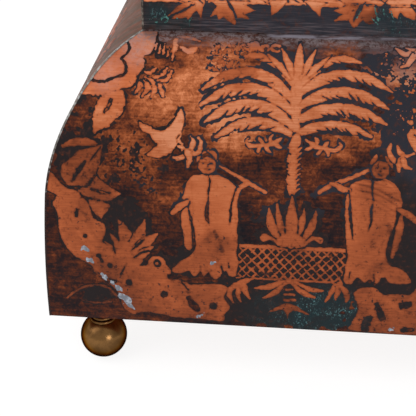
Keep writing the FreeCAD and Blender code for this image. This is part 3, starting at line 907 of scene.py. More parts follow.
def frond(draw, start, rise, tip, widest, teeth, seed):
    """A palm frond that arches from start over the height rise to tip, with uneven teeth below."""
    side = 1 if tip[0] > start[0] else -1
    control = (start[0] + 0.45 * (tip[0] - start[0]), rise)
    chance = np.random.default_rng(seed)

    def width(t):
        return widest * min(1.0, (t + 0.12) / 0.35) ** 0.7 * min(1.0, (1.04 - t) / 0.30) ** 0.8

    steps = [k / 14 for k in range(15)]
    draw.stroke([bezier(start, control, tip, t) + (width(t),) for t in steps], 0.7, False)
    for k in range(teeth):
        t = 0.34 + 0.60 * (k + chance.uniform(-0.35, 0.35)) / teeth
        a, b = bezier(start, control, tip, t), bezier(start, control, tip, t + 0.02)
        length = math.hypot(b[0] - a[0], b[1] - a[1])
        ahead = ((b[0] - a[0]) / length, (b[1] - a[1]) / length)
        down = (side * ahead[1], -side * ahead[0])
        w, deep, lean = width(t), chance.uniform(0.0, 0.65), chance.uniform(2.4, 4.2)
        foot = tuple(a[n] + down[n] * (w + 0.8) + ahead[n] * 1.6 for n in (0, 1))
        top = tuple(a[n] + down[n] * w * deep - ahead[n] * lean for n in (0, 1))
        draw.cut([foot + (chance.uniform(0.8, 1.3),), top + (0.2,)])


def blade(draw, root, tip, width, bend, gap):
    """A pointed leaf, widest near its middle, bent sideways by bend."""
    middle = ((root[0] + tip[0]) / 2, (root[1] + tip[1]) / 2)
    length = math.hypot(tip[0] - root[0], tip[1] - root[1])
    normal = (-(tip[1] - root[1]) / length, (tip[0] - root[0]) / length)
    control = (middle[0] + 2 * bend * normal[0], middle[1] + 2 * bend * normal[1])
    run = []
    for k in range(9):
        t = k / 8
        radius = max(0.35, width * math.sin(math.pi * (0.14 + 0.86 * t)) ** 0.9)
        run.append(bezier(root, control, tip, t) + (radius,))
    draw.stroke(run, gap, False)


class Motif:
    """A drawing seen from a motif's own origin (u, v), scaled by size and mirrored if flip is set."""

    def __init__(self, draw, u=0, v=0, flip=False, size=1.0):
        self.draw, self.u, self.v, self.size = draw, u, v, size
        self.sign = -1 if flip else 1

    def placed(self, points):
        """The motif's points on the panel. Numbers after the second are lengths."""
        across = self.sign * self.size
        return [(self.u + across * p[0], self.v + self.size * p[1]) + tuple(self.size * r for r in p[2:])
                for p in points]

    def stroke(self, *runs, gap=0.0):
        for run in runs:
            self.draw.stroke(self.placed(run), gap)

    def rows(self, rows):
        """Strokes that each have a gap of their own."""
        for run, gap in rows:
            self.stroke(run, gap=gap)

    def cut(self, *runs):
        self.stroke(*runs, gap=None)

    def shape(self, outline, gap=0.0, smooth=True):
        self.draw.shape(self.placed(outline), gap, smooth)

    def blades(self, rows, gap):
        """Pointed leaves, each as root, tip, width and sideways bend."""
        for root, tip, width, bend in rows:
            root, tip = self.placed([root, tip])
            blade(self.draw, root, tip, self.size * width, self.sign * self.size * bend, gap)

    def star(self, centre, tips, width, gap):
        """Pointed lobes from one centre."""
        lobes = [(centre, tip, width, 0.0) for tip in tips]
        self.blades(lobes[:1], gap)
        self.blades(lobes[1:], 0.0)
        self.dot(*centre, width)

    def dot(self, u, v, radius, gap=0.0, wide=1.0):
        self.draw.dot(*self.placed([(u, v, radius)])[0], gap, wide)

    def holes(self, rows):
        for u, v, radius in self.placed(rows):
            self.draw.hole(u, v, radius)

    def wash(self, field, u, v, inner, outer, value, tall=1.0):
        self.draw.wash(field, *self.placed([(u, v, inner, outer)])[0], value, tall)


# Each frond: tip (u, v), height of its foot, height that it arches over, half width, teeth.
PALM_FRONDS = (
    (-48, 132, 135, 150, 3.7, 6), (46, 136, 136, 147, 3.4, 7), (-55, 141, 140, 164, 4.1, 6),
    (54, 144, 144, 159, 4.1, 8), (-58, 151, 148, 175, 4.0, 6), (55, 153, 152, 171, 4.0, 8),
    (-57, 161, 155, 187, 3.8, 5), (57, 163, 160, 184, 3.8, 8), (-36, 182, 164, 190, 2.9, 3),
    (38, 181, 164, 190, 2.9, 3))
PALM_BARK = (
    (1, 134, 2.4), (0.5, 129, 3.6), (0, 125, 3.0), (-0.5, 120, 3.3), (-0.2, 115, 2.5), (-0.5, 109, 3.1),
    (-0.5, 103, 2.6), (0, 97, 1.3))
PALM_TRUNK = ((0.5, 176, 2.0), (0, 165, 3.4), (0, 152, 3.2), (0.5, 142, 2.2), (1, 132, 2.4))

# The pointed leaves on top: tip and half width.
PALM_CROWN = (
    ((-20, 186.5), 2.1), ((20, 186), 2.1), ((-10.5, 190), 2.3), ((10.5, 189.5), 2.3), ((1, 195), 2.8))
FROND_SHARE = 0.93
FROND_SEED = 700


def palm(draw, u, v, size=1.0):
    """A palm: arched fronds, pointed leaves on top, and a trunk with ragged bark."""
    pen = Motif(draw, u, v, False, size)
    pen.wash(draw.reach, 0, 160, 37, 48, 3.0, 0.54)
    pen.wash(draw.fuse, 0, 163, 3, 17, 0.0, 1.3)
    for k, (tip_u, tip_v, foot, rise, width, teeth) in enumerate(PALM_FRONDS):
        start, top, tip = pen.placed([(math.copysign(1.5, tip_u), foot), (0, rise), (tip_u, tip_v)])
        frond(draw, start, top[1], tip, FROND_SHARE * width * size, teeth, FROND_SEED + k)
    pen.blades([((0.1 * tip[0], 168), tip, width, 0.0) for tip, width in PALM_CROWN], 0.6)
    pen.stroke(PALM_TRUNK)
    pen.stroke(PALM_BARK, gap=0.5)
    for k in range(9):
        at = 127 - 3.2 * k
        pen.cut([(4.6, at + 2.4, 0.8), (1.9, at, 0.3)])
        pen.stroke([(1.5, at - 1.0, 0.7), (4.4, at + 0.9, 0.35)])
        if k % 2:
            pen.cut([(-4.8, at + 1.5, 0.8), (-2.0, at - 0.3, 0.35)])
            pen.stroke([(-1.5, at + 2.8, 0.7), (-4.0, at + 3.6, 0.35)])
    draw.fuse[:] = 1.0


PLANT_BASE = (
    (-11.2, 8.8), (-16.2, 10.4), (-19.4, 7.6), (-17.4, 4.8), (-13.6, 6.2), (-9.4, 4.0), (-7.7, 2.2),
    (0.7, 1.2), (8.1, 2.0), (11.2, 5.0), (14.4, 7.6), (17.5, 5.4), (20.0, 6.4), (19.0, 9.2), (15.1, 10.0),
    (9.4, 9.9), (5, 11.5), (-5, 11.5))
PLANT_LEAVES = (
    ((-7.9, 8), (-14.3, 28), 2.9, 1.6), ((7.8, 7.9), (14.4, 27.6), 2.5, -1.6),
    ((-3.4, 8), (-9.5, 31), 2.1, 1.0), ((2.8, 8), (7.4, 29.1), 2.4, -0.9), ((0.2, 2), (-0.4, 37), 3.8, 0))


def plant(draw, u, v):
    """A clump of upright leaves with a scroll at each side."""
    pen = Motif(draw, u, v)
    pen.shape(PLANT_BASE, 0.8)
    pen.blades(PLANT_LEAVES, 0.8)
    pen.shape([(-9, 7), (0, 12), (9, 8), (7, 2.5), (-6, 2.5)])
    pen.cut([(16.5, 8.4, 0.3), (18.2, 7.8, 0.5), (18.4, 6.6, 0.3)])


def fence(draw, u0, u1, v0, v1):
    """A lattice fence under a rail."""
    top, step, lean, half_bar = v1 - 2.8, 5.8, 0.88, 0.56
    draw.shape([(u0, v1), (u1, v1), (u1, top), (u0, top)], 0.7, False)
    area = draw.window(np.array([(u0, v0), (u1, top)]), 0.0)
    u, v = draw.u[area], draw.v[area]
    found = np.full(u.shape, FAR)
    pitch = step / math.hypot(1, lean)
    for turn, seed in ((1, 251), (-1, 252)):
        bend = 0.7 * soft_noise(draw.u, draw.v, 11.0, seed)[area]
        across = (u - turn * (v - v0) * lean) / math.hypot(1, lean) + bend
        found = np.maximum(found, half_bar - np.abs((across + 0.5 * pitch) % pitch - 0.5 * pitch))
    inside = np.minimum(np.minimum(u - u0, u1 - u), np.minimum(v - v0, top + 0.5 - v))
    draw.depth[area] = np.maximum(draw.depth[area], np.minimum(found, inside))
    draw.stroke([(u0, v0, 0.7), (u1, v0, 0.7)], 0.0, False)
    draw.reach[area] = np.maximum(draw.reach[area], 3.0)


# Each player: the robe, the parts laid before and after it, the lines cut in it, the head and headdress.
LEFT_PLAYER = dict(
    before=(
        ([(7.1, -0.4, 0.6), (13.4, -3.7, 1.0), (19.4, -7.0, 1.3), (26.3, -10.9, 1.4), (36, -16, 0.9)],
         0.9),),
    robe=(
        (-5.7, -6.4), (-10.1, -8.1), (-13, -12.4), (-14.5, -18.7), (-15.2, -22.5), (-12, -23.4),
        (-11, -29), (-9.5, -36), (-8, -44), (-7.5, -54), (-9, -60), (-13.5, -64.5), (-18.5, -68.5),
        (-22.3, -72.8), (-21.4, -76), (-16.5, -75.8), (-11.3, -73.7), (-9.8, -76.9), (-7.2, -77.3),
        (-4.3, -74.0), (-2, -77.9), (1.1, -73.6), (3.2, -78), (6.3, -79), (10.3, -74), (12.4, -72.9),
        (14.5, -76.2), (17.6, -76.6), (19, -72.5), (20, -66.5), (18.8, -59.5), (19.4, -50.3), (18.6, -42),
        (18.9, -36), (17.9, -30), (17.8, -22.5), (18.8, -17.1), (17.6, -13.6), (13.5, -9.6), (9.6, -7.3),
        (4.6, -6.0), (-0.3, -6.7)),
    after=(
        ([(-13.3, -29.3, 1.0), (-14, -33, 2.2), (-13.4, -40, 2.8), (-12.3, -48, 2.6), (-11.7, -55, 2.4),
          (-11.4, -57.5, 1.4)],
         0.7),
        ([(-12.4, -24.6, 1.6), (-16, -26.9, 2.1), (-19.5, -30.3, 1.9), (-21.4, -32.6, 1.5)], 0.8),
        ([(26.5, -10.9, 0.9), (22, -12.3, 1.4), (18.9, -15.4, 1.6), (17.3, -21.4, 1.5), (17, -28, 1.8),
          (17.3, -36, 2.0)],
         0.0)),
    lines=(
        [(0.7, -6.8, 0.4), (1.4, -10.7, 0.7), (0.7, -17, 0.6), (0.5, -23.4, 0.6), (-0.3, -28.9, 1.1),
         (-0.2, -34.4, 1.2), (1, -38.8, 0.5)],
        [(19.6, -12.8, 0.4), (17.6, -14.3, 0.6), (15.9, -20.5, 0.7), (14.8, -25.9, 0.6),
         (14.4, -32.5, 0.8), (14, -39.2, 0.3)],
        [(-11, -23.9, 0.5), (-11.7, -29, 0.5), (-9.8, -37.1, 0.7), (-9.0, -45, 0.7), (-8.1, -54, 0.9),
         (-9.3, -58.8, 0.6)],
        [(9, -69, 0.3), (10.5, -75, 0.6)], [(-4, -70, 0.3), (-4.5, -75, 0.5)],
        [(13.5, -66, 0.3), (14.2, -70, 0.4)]),
    head=(-0.4, -0.4, 5.3),
    wings=(
        [(-6.6, 2.2, 0.4), (-5, 5.9, 1.3), (-1.4, 8.3, 0.7)],
        [(0, 8.4, 0.7), (3.6, 6.6, 1.4), (6.2, 2.0, 0.4)]))
RIGHT_PLAYER = dict(
    before=(([(-7.6, -0.8, 1.1), (-18.4, -6.4, 1.3), (-29.3, -11.2, 1.3), (-36.1, -15.8, 1.2)], 0.9),),
    robe=(
        (-17.8, -11.8), (-15.6, -9.2), (-11.7, -7), (-7, -6.3), (-3, -7.4), (3.3, -5.8), (7.3, -7.3),
        (11.6, -12.1), (14.1, -18.8), (14.1, -23.1), (12, -25.5), (10.8, -34), (8.8, -43.3), (7.6, -52.7),
        (8.3, -59.3), (11.1, -63.9), (17.9, -66.4), (22.4, -71), (24.5, -75.8), (18.9, -77.1),
        (11.4, -76.6), (8.6, -73.4), (6.1, -73.4), (3.2, -78), (-1.2, -75), (-4.4, -77.6), (-8.8, -74),
        (-12.6, -79), (-17.4, -77.8), (-17.2, -69.5), (-16.3, -59.8), (-17.5, -50.4), (-18.6, -41.1),
        (-19.6, -30.2), (-19.8, -19.6)),
    after=(
        ([(-29.5, -9.8, 0.8), (-26, -11, 1.6), (-22.6, -12.8, 2.0), (-18.4, -13.8, 1.5)], 0.6),
        ([(14.3, -29.5, 0.8), (14.2, -36, 2.0), (13.6, -43, 2.2), (12.4, -50.5, 1.9), (11.2, -58, 1.2)],
         0.7),
        ([(12.6, -25.2, 1.2), (16.8, -26.9, 2.0), (22.8, -31.2, 2.0), (27, -34, 1.6)], 0.8)),
    lines=(
        [(-4.4, -6, 0.7), (-4.2, -13.7, 0.6), (-3.4, -20.5, 0.5), (-4.1, -27.6, 0.9), (-3.3, -32.9, 0.6),
         (-4.8, -40.3, 0.3)],
        [(-18.3, -14, 0.6), (-17.2, -20, 0.6), (-16.9, -26.4, 0.9), (-15.5, -35.4, 0.9),
         (-13.8, -46.4, 0.3)],
        [(11.8, -26.5, 0.6), (11.2, -37.6, 0.6), (9.0, -46.1, 0.8), (7.9, -54.6, 0.9), (9.2, -59.2, 0.9)],
        [(1, -71, 0.3), (1.5, -76, 0.4)], [(-14, -70, 0.3), (-14.5, -76, 0.4)]),
    head=(-0.3, -0.1, 5.4),
    wings=(
        [(-5.8, 3.6, 1.0), (-3.9, 6.6, 1.5), (-3.2, 8.8, 0.5)],
        [(2.4, 7.8, 0.6), (4.6, 5.6, 1.4), (6.8, 1.4, 0.4)]))
FACE_LINES = (
    ((-2.9, 0.9, 0.4), (-1.3, 0.9, 0.4)), ((1.3, 0.9, 0.4), (2.9, 0.9, 0.4)),
    ((0, 0.2, 0.3), (-0.2, -1.3, 0.4)), ((-1.5, -2.9, 0.3), (0, -3.3, 0.4), (1.5, -2.9, 0.3)))


def player(draw, u, v, made, tone):
    """A robed figure with a long horn. (u, v) is the middle of the round head."""
    pen = Motif(draw, u, v)
    pen.rows(made["before"])
    pen.shape(made["robe"], 0.9)
    pen.rows(made["after"])
    pen.cut(*made["lines"])
    pen.dot(*made["head"], 1.0)
    pen.stroke(*made["wings"], gap=0.5)
    pen.cut(*FACE_LINES)
    pen.wash(draw.tone, 0, 1, 5, 9, tone)
    pen.wash(draw.reach, 0, 0, 7, 15, 1.0)


SCROLL = (
    [(6.6, 2.8, 0.5), (9.4, 0.9, 1.2), (12.7, -1.2, 1.5), (17.4, -2.0, 1.2), (22.1, -2.9, 1.2),
     (25.7, -2.7, 1.3), (28.2, -0.2, 0.9), (27.0, 1.6, 0.5)],
    [(12.2, 4.2, 0.5), (13.8, 2.2, 1.2), (13.4, -0.4, 0.8)],
    [(6.8, -3.2, 0.5), (8.4, -2.6, 1.1), (11.2, -1.2, 0.9)],
    [(20.4, 1.8, 0.5), (19.0, 0.4, 1.1), (17.4, -1.6, 0.7)],
    [(13.2, -6.2, 0.5), (15.0, -4.8, 1.2), (16.8, -2.8, 0.7)],
    [(20.6, -6.6, 0.5), (20.4, -5.2, 1.2), (19.6, -3.0, 0.7)])


def scroll(draw, u, v, flip):
    """A branch of small curls."""
    pen = Motif(draw, u, v, flip)
    pen.stroke(*SCROLL)
    pen.wash(draw.reach, 17, -1, 9, 18, 1.0, 0.55)


CURL_STAR = (
    [(1.3, 9.8, 0.6), (3.0, 6.6, 1.4), (2.5, 2.7, 1.8), (0.6, 0, 1.5)],
    [(6.5, 9.0, 0.6), (8.0, 4.9, 1.4), (6.8, 0.2, 1.6), (3.1, -1.4, 1.5)],
    [(-6.0, 3.3, 0.6), (-3.7, 2.4, 1.3), (-2.3, 0.5, 1.5)],
    [(-8.8, -3.7, 0.6), (-5.5, -4.2, 1.3), (-1.6, -2.1, 1.8)],
    [(-0.2, -0.4, 2.2), (1.2, -3.9, 2.0), (0.2, -9.3, 0.7)])
CURL_BRANCH = (
    [(-6.3, 9.6, 0.7), (-7.2, 5.3, 1.4), (-4.8, 1.0, 1.7), (-1.9, -0.5, 1.9), (0, 0, 1.9)],
    [(-2.5, 8.7, 0.8), (-1.1, 5.2, 1.4), (1.4, 2.9, 1.7), (0.6, 0.6, 1.7)],
    [(8.4, 5.2, 0.6), (4.6, 3.2, 0.9), (1.5, 2.5, 1.3)],
    [(0, 0.4, 1.9), (-0.6, -2.4, 1.6), (-0.5, -6.5, 0.7)],
    [(1.6, 0.5, 1.6), (3.0, -3.5, 1.4), (6.7, -4.7, 0.5)])
HALF_STAR = (
    [(-11.0, 3.5, 0.8), (-8.5, 0.8, 1.5), (-5.3, -0.6, 2.0), (0.7, 0.9, 2.3)],
    [(-8.1, -9.8, 0.6), (-4.5, -8.1, 1.3), (-2.1, -4.1, 1.8), (0.3, -0.6, 2.1)],
    [(-5.2, 4.3, 0.6), (-2.1, 3.1, 1.1), (0.7, 2.5, 1.7)], [(2, 1, 2.1), (8, 3, 1.6), (12, 1.5, 0.6)],
    [(2, -1, 2.0), (6, -6, 1.6), (8, -10.5, 0.6)])

CURLED_PETALS = (
    [(-4.2, 3.8, 0.7), (-0.5, 3.0, 1.5), (3.5, 6.6, 0.7)],
    [(1.5, 0.2, 0.7), (6.5, 1.4, 1.6), (9.6, 6.2, 0.7)],
    [(4.0, -2.0, 0.7), (10, -0.6, 1.5), (12.8, 4.6, 0.7)],
    [(-3.6, 0.2, 0.7), (1.0, -2.8, 1.9), (3.0, -6.6, 2.0), (1.6, -12, 0.7)],
    [(-3.4, -2.0, 0.7), (-1.2, -6.0, 1.9), (-4.4, -11.9, 0.7)],
    [(-7.0, -2.0, 0.8), (-6.0, -6.0, 1.6), (-8.6, -10, 0.7)],
    [(5.5, -4.0, 1.2), (7.2, -7.2, 1.8), (8.4, -11, 0.9)])
BIRD = (
    (-26, 0), (-22, -1), (-17.5, -3), (-12, -3.5), (-7.5, -1), (-3, 4), (0, 9), (1.8, 4), (1.5, -2),
    (0, -8), (-2.5, -14), (-7, -19), (-13.5, -21.5), (-18, -21), (-20, -19.5), (-16, -15.5), (-13, -13),
    (-17, -10.5), (-19, -7), (-23, -5.5))


def bird(draw, u, v, flip=False, size=1.0):
    """A small bird on the wing: curved back, raised wing and short tail."""
    pen = Motif(draw, u, v, flip, size)
    pen.shape(BIRD, 1.0)
    pen.cut([(-17, -3.2, 0.7), (-12, -3.8, 1.0), (-7, -1.4, 0.6), (-3.5, 3, 0.3)])


def curled_flower(draw, u, v, flip=False, size=1.0):
    """A flower of crescent petals that turn round one point."""
    Motif(draw, u, v, flip, size).stroke(*CURLED_PETALS, gap=0.8)


BIG_PETAL = (
    (-23, -15), (-14, -4), (-4, 8), (6, 20), (14, 31), (21, 30), (21.5, 20.8), (21, 12), (17.3, 8.1),
    (15.2, 6.4), (16.4, 0.1), (13.2, -4.7), (10, -12.6), (2.7, -14.5), (-4.5, -18.1), (-8.2, -19),
    (-14.9, -19.4), (-22, -18.5))
PETAL_LINE = (
    (1.5, 21, 0.8), (4.4, 16.6, 1.0), (5.7, 12.5, 1.1), (4.6, 8.2, 1.0), (1.6, 5.0, 0.9), (3.2, 3.0, 0.9),
    (5.0, -0.3, 1.1), (4.0, -5.2, 1.1), (-1.5, -7.5, 0.9), (-8, -10.4, 1.0), (-14, -9.9, 0.9),
    (-17.5, -8.0, 0.7))
SLIT_LEAF = (
    (2.7, -14.8), (5.1, -17.8), (5.9, -25.1), (2.8, -31.1), (0, -34.1), (-2.9, -37.6), (-8.8, -40.3),
    (-12.8, -42.3), (-13.8, -36), (-13.5, -29.5), (-10.3, -21.3), (-7.1, -17.5), (-2, -15.5))
LEAF_CUTS = ((3.6, -32.5, 1.1), (0.4, -36, 0.9), (-4.5, -40, 1.0), (-8.6, -42.6, 0.9), (6.6, -27.5, 0.8))


def big_flower(draw, u, v, flip=False):
    """Broad wavy petals that run over the seam's edge, with a slit leaf under them."""
    pen = Motif(draw, u, v, flip)
    pen.shape(SLIT_LEAF, 1.0)
    pen.shape(BIG_PETAL, 0.9)
    pen.shape([(-7, -18), (2, -15.5), (4, -20), (-5, -22)])
    pen.cut(PETAL_LINE, [(-2.9, -21, 0.5), (-4.5, -25.5, 1.3), (-7.3, -30, 0.5)])
    for across, up, radius in LEAF_CUTS:
        pen.cut([(across, up, radius), (across - 1.6, up - 0.6, radius * 0.6)])
    pen.wash(draw.tone, 0, 2, 8, 30, 0.68)


SPRAY_LEAVES = (
    ((3, -21), (15, -21), (17, -25), (11, -34), (7, -31), (4, -25)),
    ((-3, -15), (4, -10), (8, -4), (11, -7), (24, -16), (19, -20), (15, -22), (7, -20), (1, -19)),
    ((-14, -5), (-13, 1), (-8, 5), (-2, 11), (7, 13), (13, 15), (11.5, 4), (9, -2), (6, -7), (2, -12),
     (-10, -12.5)))


def leaf_spray(draw, u, v, flip=False):
    """Overlapping broad leaves, two of them slit."""
    pen = Motif(draw, u, v, flip)
    low, middle, high = SPRAY_LEAVES
    pen.stroke([(-12, 13, 1.2), (-5, 15.5, 2.4), (3, 16, 2.4), (9, 15, 0.9)], gap=0.8)
    pen.shape(low, 0.9, False)
    pen.shape(middle, 0.9, False)
    pen.cut([(5, -14, 0.5), (11, -15, 0.9), (17, -16, 0.5)])
    pen.shape(high, 0.9, False)
    pen.cut([(2, 4, 0.9), (-3, -3, 1.4), (-6, -8, 0.8)], [(12, 14, 0.3), (7, 7, 0.5), (4, 3, 0.3)])
    pen.wash(draw.tone, 0, -2, 14, 34, 0.46)


ROCK = [
    (-151, 106), (-146, 102), (-141, 97), (-134, 95), (-131, 91), (-127, 86), (-124, 76), (-118, 73),
    (-117, 66), (-119, 59), (-113, 52), (-97, 46), (-95, 43), (-88, 44), (-82, 42), (-78, 40), (-77, 34),
    (-70, 34), (-62, 31), (-52, 32), (-42, 32), (-39, 28), (-41, 22), (-37, 15), (-40, 9), (-42, 3),
    (-57, 4), (-72, 4), (-90, 7), (-101, 5), (-108, 11), (-110, 20), (-115, 27), (-120, 32), (-125, 36),
    (-128, 42), (-136, 47), (-141, 52), (-146, 62), (-147, 78), (-150, 85), (-147, 91), (-153, 95)]
ROCK_HOLES = (
    (-135, 79, 1.5), (-130, 63, 1.5), (-122, 49, 1.6), (-115, 42, 2.0), (-103, 30, 2.3), (-80, 22, 2.6),
    (-48, 15, 2.8))
ROCK_LEAVES = (
    ((-108, 50), (-114, 66), 2.4, -1), ((-108, 50), (-117.6, 60), 1.6, 0),
    ((-104, 50), (-108.3, 76), 4.6, -2.5), ((-103, 52), (-91.4, 77), 3.8, -1.5),
    ((-100, 50), (-83, 67.6), 3.8, 1.0), ((-98, 47), (-86.6, 57.8), 2.8, 0.5))
ROCK_LINES = (
    [(-101, 54, 0.5), (-95, 60, 0.9), (-92, 63, 0.5)], [(-99, 49, 0.5), (-94, 53, 1.0), (-89, 54.5, 0.6)],
    [(-134.5, 82, 0.7), (-135, 77, 0.9)], [(-113, 60, 0.9), (-111.5, 54, 0.7), (-111, 50, 0.3)],
    [(-75, 2, 1.6), (-69, 3, 1.2)], [(-98, 5, 1.4), (-92, 6, 1.0)],
    [(-64, 20, 1.6), (-61, 15, 2.6), (-59, 12, 2.4)], [(-122, 49, 0.5), (-120, 45, 0.9)],
    [(-69, 33, 0.3), (-64, 26, 0.5)], [(-104, 44, 0.3), (-108, 36, 0.5)])
ROCK_MOUND = ((-120, 58), (-113, 57), (-106, 62), (-99, 58), (-94, 50), (-95, 44), (-108, 40), (-119, 46))
ROCK_RIPPLES = (
    [(-145, 15, 0.5), (-140, 20, 0.9), (-134, 24, 1.1), (-126, 26.5, 1.0), (-118, 25.5, 1.2),
     (-112, 19, 1.2)],
    [(-135, 14, 0.5), (-126, 12.5, 1.0), (-116, 14, 1.2)],
    [(-124, 36, 0.5), (-117, 31, 0.9), (-112, 30, 0.6)])

# How light the rock's copper is, and where its patina runs wide, as soft discs.
ROCK_TONES = ((-118, 22, 14, 50, 0.44), (-130, 18, 8, 20, 0.36))
ROCK_DARK = ((-125, 18, 4, 14, ALL_DARK, 0.6), (-98, 80, 4, 12, ALL_DARK), (-66, 46, 4, 14, ALL_DARK))

# Small leaves like hands: runs, and the gap cut round each.
HAND_LEAF = (
    ([(10.4, 6.6, 0.6), (6.5, 5.2, 1.8), (3.2, 2.6, 2.8), (1.2, 0.4, 2.6)], 0.7),
    ([(-0.6, 1.5, 1.7), (-3.8, -3, 1.8), (-4.4, -7.5, 1.5), (-2, -12.4, 0.5)], 0.0),
    ([(1.8, 0.5, 1.9), (1.1, -6, 1.6), (3, -11.6, 0.5)], 0.0),
    ([(5, 1.6, 1.9), (6.1, -4, 1.9), (8.9, -9, 0.7)], 0.0))
SMALL_HAND = (
    ([(-3.2, 6, 0.7), (-4.5, 1, 1.7), (-6.5, -3.5, 1.4), (-8.6, -8, 0.5)], 0.7),
    ([(-2.4, 5.4, 1.0), (-1.1, 1, 1.6), (-2, -3, 1.4), (-2.4, -6.6, 0.5)], 0.0),
    ([(-1.6, 5.6, 1.2), (3.2, 1.4, 1.9), (4.9, -3, 1.8), (4.3, -7.8, 0.6)], 0.0))


def rock(draw):
    """Rocky ground on the left, holed as scholar's rocks are, with a fan of leaves and a ring on it."""
    pen = Motif(draw)
    pen.shape(ROCK, 0.9)
    pen.blades(ROCK_LEAVES, 0.7)
    pen.shape(ROCK_MOUND)
    pen.holes(ROCK_HOLES)
    pen.cut(*ROCK_LINES)
    pen.dot(-84, 45.5, 5.6, 0.8)
    pen.shape([(-89, 45), (-79, 45), (-76, 38), (-92, 38)])
    pen.holes([(-84, 45.6, 3.0)])
    pen.dot(-84.3, 45.4, 1.1)
    pen.stroke(*ROCK_RIPPLES, gap=0.5)
    draw.washes(draw.tone, ROCK_TONES)
    draw.washes(draw.reach, ROCK_DARK)


LOW_ROCK = (
    (-22, 31), (-17, 35), (-9, 35.5), (-3, 31), (6, 32), (13, 32), (18, 38), (26, 36), (30, 27), (33, 14),
    (31, 1.5), (-19, 1), (-22, 7), (-19, 16), (-20, 23))

LOW_ROCK_HOLES = (
    [(-7, 23, 1.4), (-5, 18, 2.2), (-2.5, 12.5, 2.0)], [(9, 23, 2.3), (12.5, 24, 2.6)],
    [(-13, 3, 2.4), (-12.6, 8, 2.6), (-11, 12, 2.0)], [(12, 4, 2.0), (17, 4.6, 1.6)],
    [(24, 14, 1.6), (25, 20, 2.0)])


def low_rock(draw, u):
    """A lower piece of the same ground, off to one side."""
    pen = Motif(draw, u)
    pen.shape(LOW_ROCK, 0.9)
    pen.cut(*LOW_ROCK_HOLES)
    pen.wash(draw.tone, 0, 14, 20, 44, 0.46)
    pen.wash(draw.reach, 0, 16, 20, 34, 3.0, 0.6)


SPREAD_CAP = (
    (-12.5, -25.5), (-7.6, -21.3), (-3, -18.2), (0.4, -17.4), (4, -18.4), (7.7, -20.3), (14.3, -25.4),
    (8, -23.8), (3.4, -22.8), (1.8, -26), (0.6, -29.7), (-0.8, -26), (-2.4, -22.8), (-7, -23.6))
SPREAD_LEAVES = (
    ([(0.5, 0, 1.0), (-5, -2.2, 2.0), (-10.8, -4.8, 2.4), (-16, -6.2, 1.7), (-21.6, -6.9, 0.5)], 0.6),
    ([(0, -1.5, 1.0), (-3.6, -5.2, 1.8), (-8, -9.2, 2.2), (-12, -12.2, 1.5), (-16, -14.1, 0.5)], 0.4),
    ([(0, 0, 1.0), (5, -2.0, 2.0), (10.6, -4.7, 2.3), (16, -6.0, 1.7), (22.3, -6.3, 0.8)], 0.4),
    ([(1, -1, 1.0), (5, -4.8, 1.8), (10.8, -9, 2.1), (14, -10.8, 1.5), (17.4, -11.6, 0.6)], 0.4))

# Each bar under them: left and right end, height, radius.
SPREAD_BARS = ((-1, 3, -6.8, 0.7), (-2, 4, -10.6, 1.0), (-1.8, 4.6, -14.9, 1.1))


def spread_leaf(draw, u, v):
    """Pairs of pointed leaves to both sides, with short bars and a cap under them."""
    pen = Motif(draw, u, v)
    pen.rows(SPREAD_LEAVES)
    pen.dot(0.5, -1.5, 2.6, 0.0, 1.6)
    pen.cut([(-4.4, -8.5, 0.5), (-1.8, -4.6, 0.6), (1.2, -3.0, 0.6), (3.6, -5.2, 0.5)])
    for left, right, height, radius in SPREAD_BARS:
        pen.stroke([(left, height, radius), (right, height + 0.3, radius)], gap=0.7)
    pen.shape(SPREAD_CAP, 0.6)
    pen.wash(draw.tone, 0, -24, 8, 16, 0.45)


# The art of each panel

def climb(draw, low, high):
    """Copper that gets lighter with height."""
    share = np.clip(draw.v / (0.72 * draw.panel.section.length), 0, 1)
    draw.tone[:] = low + (high - low) * share ** 0.8


# Where the front's patina runs wide: (u, v), inner and outer radius, reach, how much as high as wide.
FRONT_DARK = (
    (2, 22, 30, 60, 20.0, 0.5), (-14, 80, 6, 26, 4.0, 1.0), (18, 82, 8, 30, 4.0, 1.0),
    (78, 92, 16, 44, 20.0, 1.3), (-103, 72, 8, 20, 8.0, 1.2), (-78, 56, 4, 12, 5.0, 1.0),
    (-72, 100, 4, 18, 1.6, 1.6), (86, 58, 12, 32, 20.0, 1.0), (74, 34, 10, 26, 20.0, 0.5),
    (64, 134, 8, 18, 20.0, 1.1), (50, 185, 3, 12, 3.0, 0.5), (-136, 128, 6, 26, 5.0, 1.4),
    (40, 152, 14, 40, 2.0, 1.0), (66, 162, 4, 14, 1.4, 1.0), (-86, 186, 4, 12, 2.0, 1.0),
    (-110, 150, 6, 18, 1.4, 1.0), (-76, 136, 6, 20, 1.1, 1.0), (-92, 168, 6, 18, 1.3, 1.0),
    (-50, 152, 8, 18, 1.7, 1.7), (-14, 184, 4, 16, 1.6, 0.6))

# How light the front's copper is: (u, v), inner and outer radius, tone.
FRONT_TONES = (
    (62, 62, 14, 36, 0.50), (66, 92, 8, 20, 0.60), (54, 92, 10, 24, 0.56), (-46, 62, 4, 14, 0.52),
    (-60, 44, 8, 22, 0.54), (-70, 140, 10, 24, 0.98), (-104, 160, 10, 26, 0.76), (0.5, 76, 14, 24, 0.56),
    (-104, 62, 10, 24, 0.50), (-136, 84, 8, 26, 0.55), (-40, 178, 10, 20, 0.66), (-24, 190, 8, 14, 0.74))

